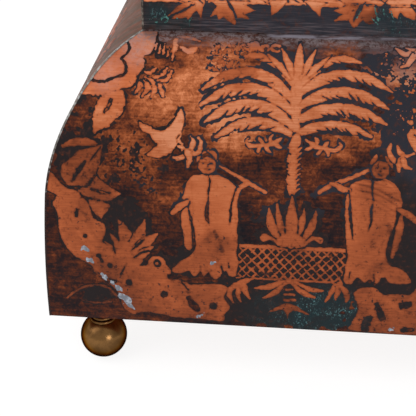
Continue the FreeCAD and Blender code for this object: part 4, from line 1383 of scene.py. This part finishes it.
# Copper with edges eaten away: (u, v), inner and outer radius, how deep, how much as high as wide.
FRONT_ROUGH = (
    (-44, 183, 8, 22, 1.3, 0.6), (-26, 190, 6, 16, 0.8, 0.5), (-90, 166, 8, 20, 0.5, 1.0),
    (-76, 186, 6, 16, 0.7, 0.6), (66, 184, 8, 20, 0.6, 1.0), (-118, 146, 8, 22, 0.5, 1.0),
    (-64, 122, 8, 16, 0.4, 1.0), (-130, 96, 10, 30, 0.4, 1.0), (64, 16, 14, 40, 0.5, 0.6),
    (-90, 20, 20, 60, 0.4, 0.4))

# Ragged copper specks on the front: (u, v), radius, cell, bar, seed, and how much as high as wide.
FRONT_SPECKS = (
    (-100, 112, 24, 1.6, 1.0, 331, 1.0), (56, 183, 14, 1.2, 0.72, 351, 0.7),
    (66, 150, 22, 1.2, 0.80, 356, 1.0), (72, 166, 16, 1.1, 0.62, 358, 0.8))

# Scratches and smudges on the robes and leaves: runs with a radius, and how much lighter they are.
SCRATCHES = (
    ([(34, 108, 0.4), (50, 104.5, 0.5), (65, 97, 0.4)], -0.26),
    ([(38, 103.5, 0.3), (52, 100.5, 0.5), (64, 94, 0.3)], -0.24),
    ([(36, 112, 0.3), (48, 108.5, 0.4), (60, 105, 0.3)], -0.20),
    ([(35, 99, 0.3), (50, 97, 0.4), (63, 90, 0.3)], -0.16),
    ([(42, 94, 0.3), (56, 91, 0.4), (62, 86, 0.3)], -0.14),
    ([(46, 111, 0.3), (58, 109, 0.4), (64, 103, 0.3)], -0.14),
    ([(-47.5, 71, 0.8), (-46, 67, 1.2)], -0.20), ([(-43.4, 61, 0.9), (-42.4, 57, 1.4)], -0.24),
    ([(-52, 66, 0.6), (-51, 63, 0.7)], -0.12),
    ([(-120, 170, 0.4), (-112, 166, 0.5), (-104, 165, 0.3)], -0.12),
    ([(-62, 104, 0.3), (-61, 84, 0.5), (-62, 64, 0.3)], -0.06), ([(60, 82, 1.0), (61, 76, 1.6)], -0.16),
    ([(-100, 32, 1.0), (-88, 30, 1.6), (-80, 32, 1.0)], 0.08),
    ([(-134, 66, 1.2), (-128, 56, 1.8), (-122, 50, 1.2)], 0.07), ([(64, 26, 1.6), (74, 18, 2.0)], 0.08))

# The ragged leaves above the palm's left fronds.
RAGGED_LEAVES = (
    ((-53.7, 184.5), (-51, 187.1), (-51.9, 190.6), (-50.1, 192.2), (-47.2, 191.3), (-46.2, 188.5),
     (-44.2, 189.9), (-42.7, 192), (-40.9, 190), (-38.8, 188.5), (-37.3, 185.2), (-39.6, 183.2),
     (-42.6, 184), (-44.4, 180.7), (-47.7, 181.5), (-50.2, 182.8)),
    ((-32.6, 188.3), (-31.2, 191.9), (-28.1, 194.8), (-24.8, 194.4), (-23, 192.3), (-17.3, 192.3),
     (-17.1, 188.9), (-19.4, 186.3), (-21.8, 184.3), (-25.1, 185.2), (-31.6, 185.9)),
    ((-55, 180.5), (-50, 182), (-44, 179.5), (-38, 181), (-36, 177), (-39, 173.5), (-47, 172.5),
     (-54, 173.5)))


def ticks(draw, u, v, wide, tall, count, seed):
    """Short upright cuts, close together."""
    chance = np.random.default_rng(seed)
    for _ in range(count):
        a, b = u + chance.uniform(-wide, wide), v + chance.uniform(-tall, tall)
        length, lean = chance.uniform(0.7, 2.1), chance.uniform(-0.5, 0.5)
        radius = chance.uniform(0.45, 0.75)
        draw.cut([(a - lean, b - length, 0.3), (a, b, radius), (a + lean, b + length, 0.3)])


def ragged_leaves(draw):
    """The leaves over the palm's left fronds, with an eye in one and nicks in all."""
    for outline in RAGGED_LEAVES:
        draw.shape(outline, 0.5)
    draw.dot(-13.5, 189.8, 3.4, 0.4, 1.2)
    draw.dot(-13.7, 189.6, 1.6, None, 1.2)
    draw.dot(-20.0, 188.6, 1.1, None)
    ticks(draw, -44, 186, 9, 5.0, 26, 361)
    ticks(draw, -46, 177, 10, 4.0, 36, 362)
    ticks(draw, -35, 187, 4, 5.0, 16, 363)
    draw.islands(-35, 188, 9, 1.5, 0.2, 364, 0.7, 2.2)


# Upright strokes, as of a comb.
COMB_STROKES = (
    [(-87.6, 190.5, 0.6), (-88.0, 185.5, 0.7)], [(-85.0, 190, 0.6), (-85.6, 182.5, 0.8)],
    [(-82.4, 190.5, 0.7), (-83, 183, 0.8)], [(-79.2, 189, 0.7), (-80.4, 181, 0.8)],
    [(-76.0, 194, 1.4), (-76.4, 186, 1.5), (-77.0, 179, 0.6)])


def front_art(draw):
    """The front: two players by a palm behind a fence, with flowers, a bird, rocks and leaves."""
    pen = Motif(draw)
    climb(draw, 0.47, 0.90)
    draw.washes(draw.reach, FRONT_DARK)
    for row in FRONT_SPECKS:
        draw.islands(*row)
    ragged_leaves(draw)
    palm(draw, 0, 0)
    scroll(draw, -1, 130.5, True)
    scroll(draw, 0, 130, False)
    fence(draw, -34.5, 36.5, 37.9, 63)
    plant(draw, 0.5, 60.5)
    player(draw, -52, 115, LEFT_PLAYER, 0.72)
    player(draw, 52.5, 116.5, RIGHT_PLAYER, 0.54)
    bird(draw, -69.5, 139.5)
    Motif(draw, -64.6, 122.4).stroke(*CURL_STAR, gap=0.5)
    pen.stroke([(-69.4, 132.0, 0.5), (-70.3, 129.4, 0.9), (-68.2, 127.4, 0.7)], gap=0.5)
    curled_flower(draw, -89.5, 167)
    big_flower(draw, -110, 174)
    pen.shape([(-73, 189), (-67.5, 188), (-62, 189), (-64, 184), (-70, 184)], 0.3)
    pen.blades([((-75, 197), (-61, 193.5), 1.4, 0.8)], 0.4)
    pen.stroke(*COMB_STROKES, gap=0.6)
    rock(draw)
    leaf_spray(draw, -130, 110)
    Motif(draw, -33, 31).rows(HAND_LEAF)
    Motif(draw, 33, 31).rows(SMALL_HAND)
    spread_leaf(draw, 0, 37.5)
    low_rock(draw, 64)
    draw.washes(draw.tone, FRONT_TONES)
    for run, change in SCRATCHES:
        draw.shade(run, change)
    for row in FRONT_ROUGH:
        draw.roughen(*row)
    draw.wash(draw.reach, -70, 190, 10, 18, 0.05, 0.7)
    right_margin(draw)


RIGHT_BUD = (
    (70.4, 142.6), (67.9, 140.1), (66.7, 136.9), (67.6, 134.6), (69.2, 131.9), (72.2, 128), (77, 126),
    (83, 128), (86, 133), (85, 139), (80, 142), (75, 143))
RIGHT_ROCK = (
    (112, 106), (118, 96), (124, 96), (131, 88), (139, 84), (146, 92), (150, 98), (151, 80), (148, 62),
    (143, 46), (136, 30), (131, 14), (128, 3), (99, 2), (97, 14), (100, 26), (98, 38), (102, 47),
    (100, 57), (107, 63), (104, 74), (109, 84), (107, 94))
RIGHT_HOLES = (
    (124, 84, 1.9), (133, 70, 2.2), (117, 68, 1.7), (126, 52, 2.6), (112, 42, 1.8), (121, 30, 2.3),
    (108, 18, 2.5), (121, 10, 1.8))


def right_margin(draw):
    """Past the photograph's right edge: the same kinds of motif, in a layout that balances the left."""
    pen = Motif(draw)
    Motif(draw, 63.8, 122.4).stroke(*CURL_BRANCH, gap=0.6)
    Motif(draw, 70, 189).stroke(*HALF_STAR, gap=0.5)
    bird(draw, 96, 156, True)
    curled_flower(draw, 94, 184, True, 1.1)
    big_flower(draw, 112, 172, True)
    leaf_spray(draw, 130, 108, True)
    pen.shape(RIGHT_BUD, 0.9)
    pen.cut([(71, 138, 0.4), (76, 135, 0.9), (81, 136, 0.4)])
    pen.stroke([(70.4, 142.2, 0.6), (69.2, 144.2, 0.7)], gap=0.6)
    pen.dot(68.7, 145.2, 1.6, 0.5)
    fan(draw, 95, 60, True)
    pen.shape(RIGHT_ROCK, 0.9)
    pen.holes(RIGHT_HOLES)
    pen.wash(draw.tone, 126, 40, 20, 56, 0.46)


# Leaves that hang over the front's crease, as (u, height over the skirt's edge), and slits in them.
FRONT_HANGING = (
    ((-58.5, 20), (-58.5, 17.7), (-60.5, 13.5), (-60.8, 7.8), (-62.4, 11.5), (-63.7, 13.4), (-66.6, 10.9),
     (-69, 6.3), (-70.2, 8.6), (-79.4, 7.5), (-78.2, 9.3), (-71.2, 12.6), (-64.2, 17.5), (-66, 20)),
    ((-71.2, 18), (-76.4, 14.8), (-82.3, 8.9), (-79.5, 10.0), (-75.3, 12.2), (-68, 16.5), (-66, 19)),
    ((-56.2, 20), (-51, 16.7), (-53.3, 13.1), (-55.6, 9.1), (-51, 11.4), (-50.4, 7.5), (-46.9, 9.7),
     (-44.6, 7.4), (-39.7, 4.2), (-38.8, 7), (-37.7, 9.4), (-29.7, 8.4), (-34.3, 11.6), (-27.2, 14.5),
     (-33.8, 17.2), (-31, 20)),
    ((-20, 21), (-18.4, 18.3), (-17.7, 11.5), (-14.9, 13.1), (-8.3, 20.3), (-9, 22)),
    ((1, 22), (2.4, 20.7), (7.7, 15.5), (12.2, 11.2), (12.7, 18.6), (15.7, 20.5)),
    ((29, 20.5), (27.8, 19.1), (20.2, 15.6), (25.9, 13.7), (22.7, 11.3), (18.9, 8.5), (29.5, 10),
     (32.1, 5), (34.9, 5.7), (38, 10), (41, 7.1), (45.5, 7.2), (46, 13), (50, 19.5)),
    ((51.3, 20), (53, 15), (58.7, 11.2), (59.9, 16.5), (64.1, 12.5), (69.9, 10.4), (69.5, 15.1), (66, 20)),
    ((76, 20), (77, 14), (80, 10), (83, 13), (86, 7), (90, 12), (91, 19)))
FRONT_SLITS = (
    [(-46, 22, 0.4), (-44.4, 19.3, 0.7), (-41.8, 15.2, 0.9), (-40, 11.1, 0.8), (-38.3, 7, 0.5)],
    [(39, 22, 0.4), (35.3, 16.4, 1.2), (33.3, 12.2, 0.9), (32.6, 8.8, 0.4)],
    [(-64, 21, 0.3), (-60, 18.2, 0.4)], [(-56, 21, 0.3), (-57.6, 18, 0.5)],
    [(52, 24, 0.3), (50, 20.4, 0.5), (47, 17, 0.4)], [(30, 19.3, 0.2), (48, 19.0, 0.35), (66, 18.8, 0.2)],
    [(66, 21, 0.4), (72, 19, 0.9), (79, 17, 0.4)], [(-20, 23, 0.3), (-18.9, 20, 0.4)],
    [(-8, 23, 0.3), (-7.6, 20, 0.4)], [(2, 23, 0.3), (1.6, 20.5, 0.4)])

# The height on a lid panel at which its skirt bends to the roof.
LID_CREASE = SKIRT_HEIGHT + 1.3


def lid_ground(draw, seed, middle=0.3, half=1.5):
    """The dark skirt of a lid panel and the worn copper along its crease."""
    draw.reach[:] = np.where(draw.v < LID_CREASE, 20.0, 1.2)
    wear = soft_noise(draw.u, draw.v, 26.0, seed) * 0.4 + soft_noise(draw.u, draw.v, 6.0, seed + 3) * 0.3
    draw.depth = np.maximum(draw.depth, half + 0.6 * wear - np.abs(draw.v - LID_CREASE - middle))
    draw.tone[:] = 0.43 + 0.53 * np.clip(draw.v / LID_CREASE, 0, 1) ** 1.8


def roof_stars(draw):
    """A row of stars near the roof's top."""
    height = draw.panel.section.length - 12
    count = max(2, int(draw.panel.half / 18))
    for k in range(count):
        pen = Motif(draw, (k - (count - 1) / 2) * 26, height)
        pen.star((0, 0), ((-9, -3), (-5, 8), (5, 8), (9, -3), (0, -10)), 2.0, 0.6)


def crease_star(draw, u):
    """Lobes that stand up from the crease on to the roof."""
    pen = Motif(draw, u, LID_CREASE)
    pen.star((0, 1), ((-13, 5), (-7, 13), (1, 16), (9, 12), (14, 4)), 2.6, 0.5)


def holed_rock(draw, flip, outline, holes, lines):
    """Rocky ground at one end of a panel."""
    pen = Motif(draw, flip=flip)
    pen.shape(outline, 0.9)
    pen.holes(holes)
    pen.wash(draw.tone, outline[len(outline) // 2][0], 30, 14, 60, 0.46)
    pen.cut(*lines)


FAN = (
    ((-4, 0), (-9, 15), 2.0, -1.0), ((0, 2), (-2, 23), 3.2, -1.5), ((3, 1), (8, 21), 3.0, 1.0),
    ((5, 0), (15, 13), 2.6, 1.0))


def fan(draw, u, v, flip):
    """A few leaves that stand up from the rocks."""
    pen = Motif(draw, u, v, flip)
    pen.blades(FAN, 0.7)
    pen.dot(0, 0, 5.0, 0.0, 1.4)


SIDE_ROCK = [
    (104, 112), (112, 104), (120, 92), (124, 74), (126, 50), (124, 22), (120, 3), (66, 2), (62, 14),
    (66, 24), (60, 34), (66, 44), (76, 46), (74, 58), (84, 62), (82, 74), (92, 78), (90, 92), (98, 96),
    (98, 106)]
SIDE_HOLES = (
    (108, 92, 1.9), (100, 78, 2.1), (112, 66, 2.2), (94, 56, 1.8), (106, 42, 2.5), (82, 30, 2.2),
    (98, 20, 2.4), (74, 10, 1.9))
REAR_ROCK = [
    (132, 108), (142, 102), (150, 88), (152, 60), (150, 30), (146, 3), (72, 2), (68, 14), (74, 22),
    (86, 20), (94, 28), (92, 40), (102, 44), (100, 58), (110, 64), (108, 76), (118, 80), (116, 92),
    (126, 98)]
REAR_HOLES = (
    (134, 92, 2.0), (124, 74, 1.9), (138, 66, 2.3), (118, 52, 1.8), (132, 40, 2.5), (110, 30, 2.2),
    (126, 20, 2.4), (92, 12, 2.0))
SIDE_LINES = (
    [(82, 72, 0.4), (90, 66, 0.8), (98, 68, 0.4)], [(66, 24, 0.4), (76, 22, 0.9), (84, 16, 0.5)],
    [(108, 52, 0.3), (116, 44, 0.8), (118, 34, 0.4)], [(88, 40, 0.3), (92, 34, 0.8), (90, 28, 0.4)],
    [(112, 10, 0.3), (106, 12, 0.9), (102, 8, 0.4)])
REAR_LINES = (
    [(108, 76, 0.4), (116, 70, 0.8), (124, 62, 0.4)], [(92, 40, 0.4), (102, 32, 0.9), (104, 20, 0.5)],
    [(140, 54, 0.3), (146, 44, 0.8), (144, 32, 0.4)], [(76, 16, 0.3), (82, 10, 0.8), (84, 4, 0.4)],
    [(132, 82, 0.3), (138, 80, 0.8), (144, 74, 0.4)])


def side_art(draw, turned):
    """A side panel: a palm behind a fence, flowers in the upper corners and rocky ground at both ends."""
    climb(draw, 0.47, 0.82)
    draw.wash(draw.reach, 0, 60, 40, 90, 5.0, 0.8)
    palm(draw, 0, 8, 0.86)
    fence(draw, -46, 46, 26, 50)
    plant(draw, 0, 48)
    for flip in (False, True):
        sign = 1 if flip else -1
        curled_flower(draw, sign * 62, 170, flip)
        bird(draw, sign * 52, 108 + 6 * flip, flip != turned, 0.9)
        Motif(draw, sign * 86, 140, flip, 1.25).stroke(*CURL_STAR, gap=0.6)
        fan(draw, sign * -78, 54, flip)
        holed_rock(draw, flip, SIDE_ROCK, SIDE_HOLES, SIDE_LINES)
        Motif(draw, sign * 36, 16, not flip).rows(HAND_LEAF)
    spread_leaf(draw, 0, 24)


def rear_art(draw):
    """The back: no figures, a palm at each side of a fence, rocks and flowers."""
    climb(draw, 0.47, 0.82)
    draw.wash(draw.reach, 0, 60, 60, 110, 5.0, 0.7)
    palm(draw, -62, 6, 0.88)
    palm(draw, 62, 6, 0.88)
    fence(draw, -54, 54, 30, 56)
    for u, v in ((0, 54), (-62, 48), (62, 48)):
        plant(draw, u, v)
    curled_flower(draw, 0, 150, False, 1.3)
    Motif(draw, 0, 116, False, 1.35).stroke(*CURL_STAR, gap=0.6)
    for flip in (False, True):
        sign = 1 if flip else -1
        fan(draw, sign * -98, 48, flip)
        holed_rock(draw, flip, REAR_ROCK, REAR_HOLES, REAR_LINES)
        leaf_spray(draw, sign * 122, 136, flip)
        Motif(draw, sign * 34, 18, not flip).rows(HAND_LEAF)
    spread_leaf(draw, 0, 27)


def hanging_leaf(draw, u, tips):
    """A leaf over the crease: one point, or pointed lobes with notches between them and a slit."""
    crease = LID_CREASE
    pen = Motif(draw, u)
    if len(tips) == 1:
        pen.shape([(-6, crease), tips[0], (6, crease), (0, crease + 5)], 0.6, False)
        return
    outline = [(1.15 * tips[0][0] + 2, crease), tips[0]]
    for (left, left_low), (right, right_low) in zip(tips, tips[1:]):
        low = (left_low + right_low) / 2
        outline += [(0.75 * (left + right) / 2, low + 0.42 * (crease - low)), (right, right_low)]
    outline += [(1.1 * tips[-1][0] - 2, crease), (0, crease + 4)]
    pen.shape(outline, 0.6, False)
    crease_star(draw, u)
    pen.cut([(1, crease + 8, 0.3), (1.5, crease, 0.7), (3.5, 10, 0.5)],
            [(-3, crease + 2, 0.3), (-6, 12, 0.4)])


# Leaves that hang over the other creases: middle, and tips as (across, height over the skirt's edge).
LONG_LEAVES = (
    (-82, ((-8, 9), (0, 5), (8, 10))), (-52, ((-13, 9), (-5, 6), (4, 5), (12, 9))), (-24, ((0, 9),)),
    (0, ((-13, 9), (-6, 5), (3, 4), (12, 9))), (26, ((1, 9),)),
    (52, ((-12, 8), (-3, 5), (5, 5), (13, 9))), (82, ((-8, 9), (0, 5), (7, 9))))
SHORT_LEAVES = (
    (-50, ((-12, 9), (-4, 5), (4, 5), (12, 9))), (-22, ((0, 9),)),
    (0, ((-12, 9), (-5, 5), (4, 4), (12, 9))), (22, ((1, 9),)),
    (50, ((-12, 8), (-3, 5), (5, 5), (12, 9))))


def lid_art(draw, leaves, seed):
    """Leaves that hang over the crease on to the skirt."""
    lid_ground(draw, seed)
    for u, tips in leaves:
        hanging_leaf(draw, u, tips)
    roof_stars(draw)


def front_lid_art(draw):
    """The same on the front, where the leaves follow the photograph and one is golden and dim."""
    lid_ground(draw, 51, 1.4, 2.0)
    for u in (-66, -43, -13, 8, 36, 62, 84):
        crease_star(draw, u)
    for outline in FRONT_HANGING:
        draw.shape(outline, 0.4, False)
    for run in FRONT_SLITS:
        draw.cut(run)
    roof_stars(draw)
    draw.washes(draw.tone, ((33, 9, 8, 20, 0.58), (-77, 10, 3, 10, 0.48), (47, 10, 5, 13, 0.38)))
    draw.roughen(49, 9, 5, 13, 1.1)


# Curls of verdigris on the lid's front: runs with a radius.
BLOOM_CURLS = (
    [(-82.2, 14, 0.3), (-83, 11.5, 0.4), (-83.5, 9.8, 0.3)],
    [(-84.2, 5, 0.3), (-82.2, 5.6, 0.6), (-81.6, 7.4, 0.5), (-83.2, 8.8, 0.7), (-85.4, 7.8, 0.5),
     (-85.8, 6, 0.3)],
    [(-67.2, 8.2, 0.25), (-68.4, 5.8, 0.45), (-68.2, 3.4, 0.3)],
    [(44.6, 18.4, 0.25), (45.9, 13.7, 0.4), (47.3, 10.2, 0.45)], [(42.9, 11.9, 0.25), (47.2, 7.9, 0.45)],
    [(49.7, 18, 0.25), (50.7, 13.3, 0.4)], [(54.3, 16.4, 0.3), (56.4, 11.7, 0.35)],
    [(35.9, 15.8, 0.25), (34.5, 11.6, 0.4)], [(60.4, 12.4, 0.3), (61, 9, 0.3)])

# The specks round them: (u, v), radius, cell, bar, seed.
BLOOM_SPECKS = (
    (-90, 8, 7, 0.9, 0.80, 471), (-76, 5, 8, 0.9, 0.88, 473), (64, 5, 12, 0.9, 0.86, 475),
    (47, 12, 8, 0.9, 0.95, 477))


def bloom(draw):
    """Verdigris crusts: curls, and specks round them."""
    for run in BLOOM_CURLS:
        draw.stroke(run)
    for row in BLOOM_SPECKS:
        draw.islands(*row)
    rough = 0.35 * soft_noise(draw.u, draw.v, 0.8, 479)
    draw.depth = np.where(draw.depth > FAR, draw.depth + rough - 0.05, FAR)


# Each smear: (u, v), how far it runs to the right and up, radius.
SMEARS = (
    (-132, 54, 4, -2, 1.5), (-129, 46, 4, -3, 1.2), (-120, 35, 2, -4, 1.3), (-115, 30, 2, -3, 1.0),
    (-111, 26, 2.5, -3.5, 1.4), (-109, 19, 8, -6, 2.3), (-106, 14, 6, -6, 1.7), (-49, 47, 3, 2.5, 1.1),
    (-58, 6, 4, 3, 1.0), (67, 4, 3, 1.5, 1.0))


def smears(draw):
    """Where the solder and bare metal show through, low on the left and in a few other spots."""
    for u, v, du, dv, radius in SMEARS:
        draw.stroke([(u, v, radius), (u + 0.5 * du, v + 0.4 * dv, radius * 1.2), (u + du, v + dv, 0.3)])
    diagonal = soft_noise(draw.u + 0.8 * draw.v, (draw.v - 0.8 * draw.u) / 3.0, 1.2, 401)
    rough = 1.1 * diagonal + 0.7 * soft_noise(draw.u, draw.v, 0.9, 402) - 0.2
    draw.depth = np.where(draw.depth > FAR, draw.depth + rough, FAR)


# Building

materials = {
    # The front and lid grounds carry painted sheen, and the front also has a painted rim highlight.
    "front_ground": etched_sheet("front_ground", 0.25, True, SHEEN_BAND),
    "left_ground": etched_sheet("left_ground", 0.20, brown=True, metallic=0.25, specular=0.1),
    "ground": etched_sheet("ground", 0.30),
    "lid_ground": etched_sheet("lid_ground", 0.24, grey=LID_SHEEN_BAND),
    "bloom": bloom_crust("verdigris_bloom"),
    "copper": relief_copper("relief_copper"),
    "front_copper": relief_copper("front_relief", True),
    "left_copper": relief_copper("left_relief", dim=0.20, metallic=0.10, specular=0.05),
    "line": patina_line("patina_line"),
    "front_line": patina_line("front_patina", FRONT_WALL, GREEN_PATCHES),
    # The lid patinas carry painted violet grey sheen in streaks.
    "lid_front_line": patina_line("lid_front_patina", FRONT_ROOF, LID_GREEN_PATCHES, 0.42),
    "lid_line": patina_line("lid_patina", streaks=0.35),
    "solder": solder_metal("solder", paint(118, 112, 106), paint(182, 182, 180), *CLEAN_SEAM),
    "lid_solder": solder_metal("lid_solder", paint(62, 54, 50), paint(120, 112, 104)),
    "smear": solder_metal("solder_smear", paint(118, 120, 128), paint(170, 176, 186)),
    "brass": aged_brass("aged_brass"),
    "plain": plain_copper("plain_copper"),
    "steel": steel("steel"),
    "wood": board_wood("board_wood"),
    "felt": felt("felt")}

# Each node's material, by the start of its name. The first start that fits counts.
FINISHES = (
    ("front_panel", "front_ground"), ("left_panel", "left_ground"), ("lid_front_panel", "lid_ground"),
    ("lid_rear_panel", "lid_ground"), ("lid_left_panel", "lid_ground"), ("lid_right_panel", "lid_ground"),
    ("lid_top_plate", "plain"), ("seam", "solder"), ("lid_seam", "lid_solder"), ("foot_stud", "steel"),
    ("foot_washer", "steel"), ("foot_nut", "steel"), ("finial_", "steel"), ("hinge_pin", "steel"),
    ("foot_", "brass"), ("finial", "brass"), ("hinge", "brass"), ("base_plate", "plain"),
    ("neck_collar", "plain"), ("base_board", "wood"), ("floor_felt", "felt"), ("", "ground"))


def finish_of(name):
    return next(finish for start, finish in FINISHES if name.startswith(start))


def drawn(panel, pitch, art, wobble, seed):
    """The finished drawing of an art function on a panel."""
    drawing = Drawing(panel, pitch)
    art(drawing)
    drawing.finish(wobble, seed)
    return drawing


for name, node in frame["nodes"].items():
    node.data.materials.clear()
    node.data.materials.append(materials[finish_of(name)])


def dressed(name, body, panel, pitch, art, seed, line="line", copper="copper"):
    """The copper relief and the black patina on one panel."""
    drawing = drawn(panel, pitch, art, EDGE_WOBBLE, seed)
    relief_piece(name + "_relief", drawing, drawing.depth, RELIEF_LIFT, materials[copper], body)
    relief_piece(name + "_patina", drawing, drawing.patina(seed + 7), LINE_LIFT, materials[line], body)


dressed("front", "case", FRONT_WALL, FINE_PITCH, front_art, 11, "front_line", "front_copper")
dressed("left", "case", wall("left"), PLAIN_PITCH, lambda d: side_art(d, False), 23, "line", "left_copper")
dressed("right", "case", wall("right"), PLAIN_PITCH, lambda d: side_art(d, True), 37)
dressed("rear", "case", wall("rear"), PLAIN_PITCH, rear_art, 41)
dressed("lid_front", "lid", FRONT_ROOF, FINE_PITCH, front_lid_art, 53, "lid_front_line")
dressed("lid_rear", "lid", roof("rear"), PLAIN_PITCH, lambda d: lid_art(d, LONG_LEAVES, 61), 63,
        "lid_line")
dressed("lid_left", "lid", roof("left"), PLAIN_PITCH, lambda d: lid_art(d, SHORT_LEAVES, 71), 73,
        "lid_line")
dressed("lid_right", "lid", roof("right"), PLAIN_PITCH, lambda d: lid_art(d, SHORT_LEAVES, 81), 83,
        "lid_line")

spots = drawn(FRONT_WALL, FINE_PITCH, smears, 0.2, 405)
relief_piece("solder_smears", spots, spots.depth, SMEAR_LIFT, materials["smear"], "case")
crusts = drawn(FRONT_ROOF, BLOOM_PITCH, bloom, 0.1, 481)
relief_piece("verdigris_bloom", crusts, crusts.depth, BLOOM_LIFT, materials["bloom"], "lid")


def felt_mat():
    """The felt on the floor: a thin sheet with rounded edges and an uneven top, inside its CAD box."""
    low, high = (np.array(corner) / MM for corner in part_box("floor_felt"))
    middle, flat = (low + high) / 2, (high - low)[:2]
    half = flat / 2 - FELT_WAVE
    stations = []
    for reach in half:
        inner = np.linspace(-reach + FELT_ROUND, reach - FELT_ROUND, int(2 * reach / FELT_CELL))
        edge = np.array([0.0, 0.3]) * FELT_ROUND
        stations.append(np.concatenate([-reach + edge, inner, reach - edge[::-1]]))
    x, y = np.meshgrid(*stations)
    away = np.minimum(half[0] - np.abs(x), half[1] - np.abs(y)) / FELT_ROUND
    drop = FELT_DROP * np.clip(1 - away, 0, 1) ** 2
    top = high[2] - FELT_WAVE * (1 + soft_noise(x, y, 22.0, 501)) / 2 - drop
    x = x + FELT_WAVE * soft_noise(x, y, 40.0, 502) * np.abs(x) / half[0]
    y = y + FELT_WAVE * soft_noise(x, y, 40.0, 503) * np.abs(y) / half[1]
    count = x.size
    number = np.arange(count).reshape(x.shape)
    upper = np.stack([number[:-1, :-1], number[:-1, 1:], number[1:, 1:], number[1:, :-1]], -1).reshape(-1, 4)
    rim = np.concatenate([number[0, :-1], number[:-1, -1], number[-1, :0:-1], number[:0:-1, 0]])
    walls = np.stack([np.roll(rim, -1), rim, rim + count, np.roll(rim, -1) + count], 1)
    faces = np.concatenate([upper, upper[:, ::-1] + count, walls])
    layers = [np.stack([x + middle[0], y + middle[1], z], -1).reshape(-1, 3)
              for z in (top, np.full(x.shape, low[2]))]
    piece = smooth_piece("felt_mat", np.concatenate(layers) * MM, faces.tolist(), materials["felt"])
    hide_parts("floor_felt")
    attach(piece, "case")


felt_mat()


# Stage, lights and camera

def stage():
    r = FLOOR_REACH
    corners = np.array([(-r, -r, 0), (r, -r, 0), (r, r, 0), (-r, r, 0)])
    floor = smooth_piece("floor", corners, [(0, 1, 2, 3)], floor_white("floor"))


def world():
    """White to the camera, and to all else light from the upper left that fades to the lower right."""
    made = bpy.data.worlds.new("studio")
    bpy.context.scene.world = made
    made.use_nodes = True
    made.node_tree.nodes.clear()
    nodes = Tree(made.node_tree)
    place = nodes.add("ShaderNodeTexCoord", {}).outputs["Generated"]
    lean = nodes.vector("DOT_PRODUCT", place, SKY_WAY).outputs["Value"]
    span = {"From Min": -SKY_SPAN, "From Max": SKY_SPAN, "To Min": SKY_DARK, "To Max": SKY_LIGHT}
    level = nodes.add("ShaderNodeMapRange", {"Value": lean, **span}).outputs[0]
    seen = nodes.add("ShaderNodeLightPath", {}).outputs["Is Camera Ray"]
    strength = nodes.add("ShaderNodeMix", {0: seen, 2: level, 3: 1.0}).outputs[0]
    shade = nodes.add("ShaderNodeBackground", {"Color": (1.0, 1.0, 1.0), "Strength": strength})
    nodes.add("ShaderNodeOutputWorld", {0: shade.outputs[0]})


def lamp(name, place, aim, size, power, colour):
    light = bpy.data.lights.new(name, "AREA")
    light.shape = "SQUARE"
    light.size = size
    light.energy = power
    light.color = colour
    made = linked(name, light)
    made.location = place
    made.rotation_euler = (Vector(aim) - Vector(place)).to_track_quat("-Z", "Y").to_euler()


def camera():
    """The camera that was fitted to the photograph."""
    sin_yaw, cos_yaw = math.sin(CAMERA_YAW), math.cos(CAMERA_YAW)
    sin_pitch, cos_pitch = math.sin(CAMERA_PITCH), math.cos(CAMERA_PITCH)
    forward = Vector((sin_yaw * cos_pitch, cos_yaw * cos_pitch, -sin_pitch))
    right = Vector((cos_yaw, -sin_yaw, 0.0))
    up = right.cross(forward)
    c, s = math.cos(CAMERA_ROLL), math.sin(CAMERA_ROLL)
    right, up = c * right + s * up, c * up - s * right
    data = bpy.data.cameras.new("camera")
    data.sensor_width = SENSOR_WIDTH
    data.lens = LENS_PIXELS * SENSOR_WIDTH / FRAME_PIXELS
    made = linked("camera", data)
    turn = Matrix((right, up, -forward)).transposed().to_4x4()
    made.matrix_world = Matrix.Translation(Vector(CAMERA_PLACE) * MM) @ turn
    bpy.context.scene.camera = made


stage()
world()
for row in LAMPS:
    lamp(*row)
camera()
bpy.context.scene.view_settings.view_transform = "Standard"
